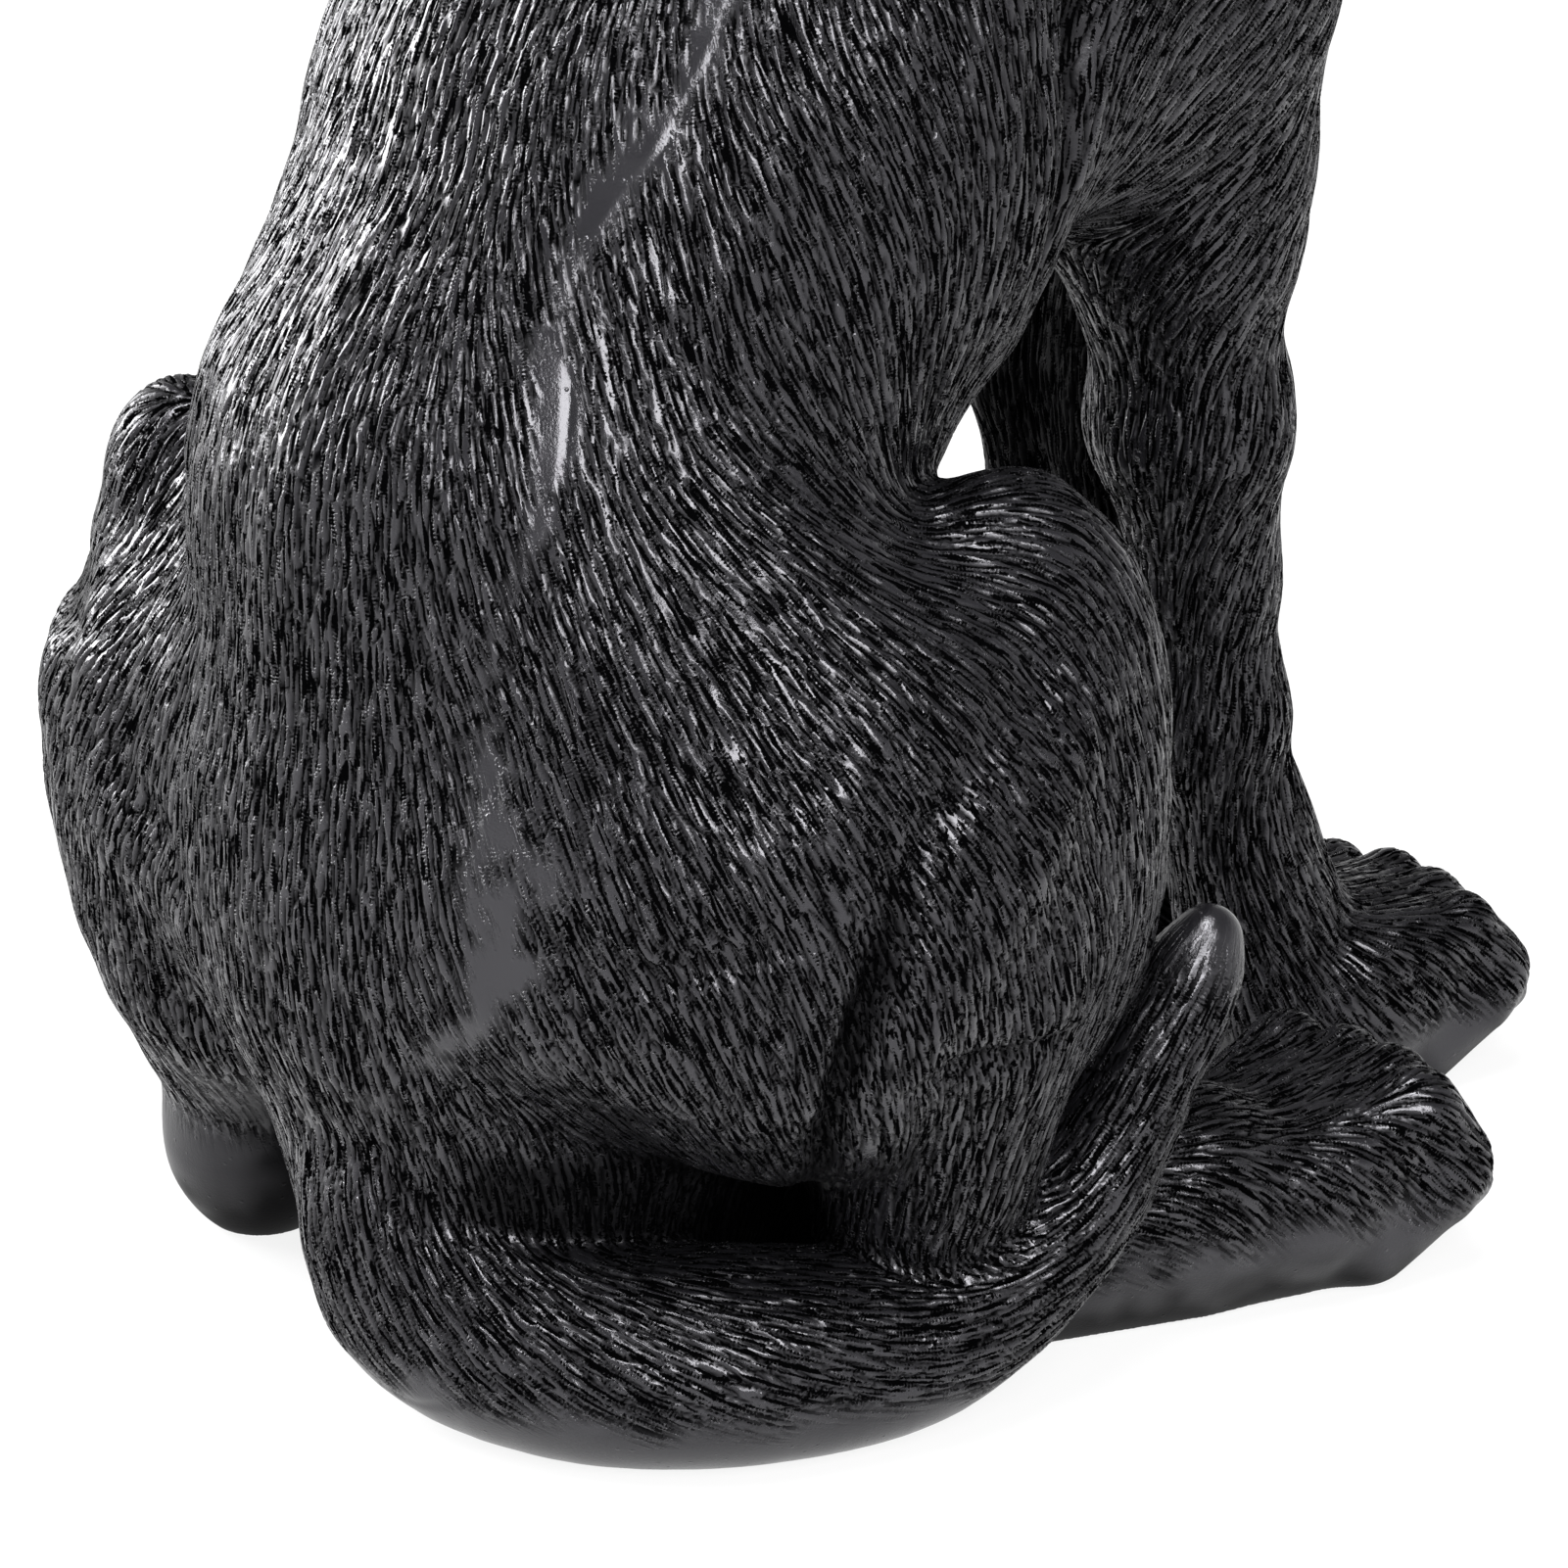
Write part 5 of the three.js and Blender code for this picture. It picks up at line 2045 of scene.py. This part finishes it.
FOLDS: tuple[Fold, ...] = (
    # the shank's edge and the muscle above the knee
    *both_sides(((-67, 20, 103), (-70, 36, 95), (-71, 48, 87), (-70, 55, 76), (-66, 55, 60)), 3.0, 1.5),
    *both_sides(((-69, 12, 98), (-72, 26, 88), (-72, 36, 78), (-70, 42, 66)), 4.5, -1.6),
    *both_sides(((-62, 42, 106), (-64, 50, 100), (-65, 56, 93), (-64, 63, 84)), 4.0, -1.1),
    *both_sides(((-58, 50, 106), (-59, 60, 98), (-58, 68, 88)), 3.2, 0.9),
    # the shank's sharp edge on the thigh, its roll beside it, and the fold over the tail
    Fold(
        ((-71, 50, 81), (-70, 53, 72), (-67, 55, 63), (-63, 54.5, 52), (-56, 50, 42), (-47, 42, 33)),
        2.2,
        3.3,
    ),
    Fold(((-72, 45, 77), (-71, 46, 69), (-69, 47.5, 61), (-65, 47, 52), (-58, 43, 41)), 4.5, -2.0),
    Fold(((-66, 50, 54), (-70, 42, 56.5), (-72, 30, 56.5), (-71, 22, 56)), 1.9, 1.6),
    Fold(((-44, 76, 69), (-55, 71, 73), (-60, 67, 75), (-66, 60, 79)), 2.6, 1.3),
    # the left thigh's rim beside the back, and the notch in its outline
    Fold(((21, 74, 129), (24, 75, 121), (31, 73, 105), (36, 75, 97)), 2.8, 0.8),
    Fold(((37, 74, 99), (35, 78, 86), (34, 79, 77), (27, 81, 70), (18, 84, 62), (11, 83, 52)), 3.4, 1.0),
    Fold(((45, 70, 100), (43, 74, 86), (41, 75, 74), (34, 79, 62)), 5.0, -1.1),
    Fold(((71, 47, 96), (66, 58, 95), (60.5, 64.5, 94), (54, 70, 93), (44, 74, 92)), 6.0, 2.6),
    Fold(((72, 48, 90), (67.5, 59, 89.5), (62, 66, 89), (55, 71.5, 89), (44, 75, 90)), 2.2, 1.2),
    # the groove behind the shoulder and the upper arm in front of it
    *both_sides(
        (
            (-42, 5, 202),
            (-45, -4, 180),
            (-45, -4, 167),
            (-46, -3, 158),
            (-46, -1.5, 149),
            (-44, -1, 141),
            (-41, -1, 132),
        ),
        2.6,
        3.6,
    ),
    *both_sides(((-46, -12, 192), (-47, -13, 167), (-43, -17, 146)), 7.0, -2.4),
    # the spine
    Fold(((0, 40, 192), (0, 62, 163), (0, 80, 126), (0, 87, 88)), 5.0, -0.9),
    # mouth, lip cleft and nostrils
    *both_sides(
        ((0, -112, 247), (-10, -109, 245), (-18, -99, 242), (-21, -85, 241), (-21, -72, 244)), 1.3, 1.7
    ),
    Fold(((0, -115, 258), (0, -113, 247)), 1.0, 1.0),
    *both_sides(((-3.5, -116, 263), (-7.5, -113.5, 262)), 1.4, 1.8),
)


# Small pieces


@dataclass
class Eyes:
    """The two set-in eyes."""

    segments: int = 48
    fit: float = 0.985
    cornea: tuple[float, float] = (0.72, 0.9)
    bulge: float = 0.05
    gaze: Point = (0.3, -0.92, 0.22)

    def build(self, finish: bpy.types.Material) -> list[bpy.types.Object]:
        """Models each eye with a bulging cornea.

        Args:
            finish: The eyes' material.

        Returns:
            The two pieces.
        """
        pieces = []
        for side in Side:
            low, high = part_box(side.word + "_eye")
            centre, radius = (low + high) / 2, (high - low).x / 2
            deselect()
            bpy.ops.mesh.primitive_uv_sphere_add(
                segments=self.segments,
                ring_count=self.segments // 2,
                radius=radius * self.fit,
                location=(0, 0, 0),
            )
            eye = bpy.context.active_object
            eye.name = side.word + "_eye_ball"
            points = places_of(eye)
            cap = soft_step(*self.cornea, points[:, 2] / radius)
            points[:, 2] += cap * self.bulge * radius
            across, ahead, up = self.gaze
            way = Vector((side.value * across, ahead, up)).to_track_quat("Z", "Y").to_matrix()
            set_places(eye, points @ np.array(way).T + np.array(centre))
            only(eye)
            bpy.ops.object.shade_smooth()
            eye.data.materials.append(finish)
            pieces.append(eye)
        return pieces


@dataclass
class Pads:
    """The felt pads under the paws."""

    names: tuple[str, ...] = ("right_front_pad", "left_front_pad", "right_hind_pad", "left_hind_pad")
    rounding: float = 0.0004
    sides: int = 64
    smooth_angle: float = math.radians(40)

    def build(self, finish: bpy.types.Material) -> list[bpy.types.Object]:
        """Models each pad as a disc with soft edges.

        Args:
            finish: The felt.

        Returns:
            The pieces.
        """
        pieces = []
        for name in self.names:
            low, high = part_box(name)
            centre = (low + high) / 2
            deselect()
            bpy.ops.mesh.primitive_cylinder_add(
                vertices=self.sides, radius=(high - low).x / 2, depth=(high - low).z, location=centre
            )
            pad = bpy.context.active_object
            pad.name = name + "_felt"
            only(pad)
            bpy.ops.object.transform_apply(location=True, rotation=True, scale=True)
            apply_modifier(pad, "BEVEL", width=self.rounding, segments=3, limit_method="ANGLE")
            only(pad)
            bpy.ops.object.shade_smooth_by_angle(angle=self.smooth_angle)
            pad.data.materials.append(finish)
            pieces.append(pad)
        return pieces


@dataclass
class Studio:
    """A white sweep, soft lamps and the camera."""

    shift: np.ndarray
    view: PhotoView = PhotoView()
    lamps: tuple[tuple[str, Point, float, float], ...] = (
        ("key", (1.0, 0.47, 0.52), 0.85, 39.0),
        ("top", (-0.15, 0.35, 1.3), 0.65, 25.0),
        ("fill", (-0.95, 0.5, 0.75), 0.7, 21.0),
    )
    lamp_target: Point = (0, 0, 0.12)
    floor_size: float = 12.0
    floor_glow: float = 0.86
    sky_fade: tuple[float, float, float, float] = (0.05, 0.55, 1.0, 0.25)

    def build(self) -> None:
        """Makes the floor, lamps, world and camera."""
        self.floor()
        self.world()
        for lamp in self.lamps:
            self.lamp(*lamp)
        self.camera()

    def spot(self, place: Point) -> Vector:
        """A place in the dog's frame as metres in the scene."""
        return Vector((np.array(place) + self.shift) * MM)

    def camera(self) -> None:
        """Puts the camera where the photograph was taken from."""
        data = bpy.data.cameras.new("camera")
        data.lens, data.sensor_width = self.view.lens, self.view.sensor
        data.clip_start, data.clip_end = 0.01, 50
        camera = bpy.data.objects.new("camera", data)
        bpy.context.scene.collection.objects.link(camera)
        place, target = self.spot(self.view.place), self.spot(self.view.target)
        camera.location = place
        camera.rotation_euler = (target - place).to_track_quat("-Z", "Y").to_euler()
        bpy.context.scene.camera = camera

    def floor(self) -> None:
        """Lays a pale floor that keeps a faint shadow."""
        deselect()
        bpy.ops.mesh.primitive_plane_add(size=self.floor_size, location=(0, 0, 0))
        floor = bpy.context.active_object
        floor.name = "floor"
        material, tree, shader = new_material("white_sweep")
        shader.inputs["Base Color"].default_value = (0.9, 0.9, 0.9, 1)
        shader.inputs["Roughness"].default_value = 0.9
        glow = add_node(tree, "ShaderNodeEmission", Strength=1.0)
        mix = add_node(tree, "ShaderNodeMixShader")
        rays = add_node(tree, "ShaderNodeLightPath")
        share = add_node(tree, "ShaderNodeMath", operation="MAXIMUM")
        part = add_node(tree, "ShaderNodeMath", operation="MULTIPLY")
        part.inputs[1].default_value = self.floor_glow
        tree.links.new(rays.outputs["Is Camera Ray"], share.inputs[0])
        tree.links.new(rays.outputs["Is Glossy Ray"], share.inputs[1])
        tree.links.new(share.outputs[0], part.inputs[0])
        tree.links.new(part.outputs[0], mix.inputs["Fac"])
        tree.links.new(shader.outputs[0], mix.inputs[1])
        tree.links.new(glow.outputs[0], mix.inputs[2])
        tree.links.new(mix.outputs[0], tree.nodes["Material Output"].inputs["Surface"])
        floor.data.materials.append(material)

    def world(self) -> None:
        """A surround that is white at the horizon and dark overhead."""
        world = bpy.data.worlds.new("white_surround")
        world.use_nodes = True
        bpy.context.scene.world = world
        tree = world.node_tree
        back = tree.nodes["Background"]
        where = add_node(tree, "ShaderNodeTexCoord").outputs["Generated"]
        parts = add_node(tree, "ShaderNodeSeparateXYZ")
        fade = add_node(tree, "ShaderNodeMapRange")
        for name, value in zip(("From Min", "From Max", "To Min", "To Max"), self.sky_fade):
            fade.inputs[name].default_value = value
        rays = add_node(tree, "ShaderNodeLightPath")
        bright = add_node(tree, "ShaderNodeMath", operation="MAXIMUM")
        tree.links.new(where, parts.inputs[0])
        tree.links.new(parts.outputs["Z"], fade.inputs["Value"])
        tree.links.new(fade.outputs["Result"], bright.inputs[0])
        tree.links.new(rays.outputs["Is Camera Ray"], bright.inputs[1])
        tree.links.new(bright.outputs[0], back.inputs["Strength"])
        back.inputs["Color"].default_value = (1, 1, 1, 1)

    def lamp(self, name: str, place: Point, size: float, power: float) -> None:
        """Hangs a soft lamp that faces the dog.

        Args:
            name: The lamp's name.
            place: Where it hangs, in metres.
            size: The side of its square.
            power: Its strength in watts.
        """
        data = bpy.data.lights.new(name, "AREA")
        data.energy, data.size = power, size
        lamp = bpy.data.objects.new(name, data)
        bpy.context.scene.collection.objects.link(lamp)
        lamp.location = place
        aim = Vector(self.lamp_target) - Vector(place)
        lamp.rotation_euler = aim.to_track_quat("-Z", "Y").to_euler()


def dress_fixings() -> None:
    """Gives the hidden fixings, which keep their CAD shape, their own finishes."""
    slots = {"pin_steel": STEEL.make(), "dowel_wood": BEECH.make(), "plug_rubber": RUBBER.make()}
    for row in frame["record"]["subparts"]:
        finish = slots.get(row["material_slot"])
        if finish is not None:
            node = frame["nodes"][row["node"]]
            node.data.materials.clear()
            node.data.materials.append(finish)
            LOG.info("%s keeps its CAD shape", node.name)


def settle(piece: bpy.types.Object, node: str) -> None:
    """Puts a finished piece in a CAD node's place.

    Args:
        piece: The piece.
        node: The CAD node that it stands for.
    """
    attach(piece, "root")
    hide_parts(node)
    LOG.info("%s stands for %s", piece.name, node)


def main() -> None:
    """Builds the castings and the small pieces, and sets the stage."""
    logging.basicConfig(level=logging.INFO, format="%(message)s")
    low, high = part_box("right_front_pad")
    form = DogForm()
    shift = np.array((low + high) / 2) / MM - np.array(form.front_paw(Side.RIGHT))
    shift[2] = 0.0
    for piece in Castings(form, shift).build(PaintedResin().make()):
        settle(piece, Region[piece["region"]].node)
    for piece in Eyes().build(ACRYLIC.make()):
        settle(piece, piece.name.removesuffix("_ball"))
    for piece in Pads().build(FELT.make()):
        settle(piece, piece.name.removesuffix("_felt"))
    dress_fixings()
    Studio(shift=shift).build()
    bpy.context.scene.view_settings.view_transform = "Standard"


if __name__ == "__main__":
    main()
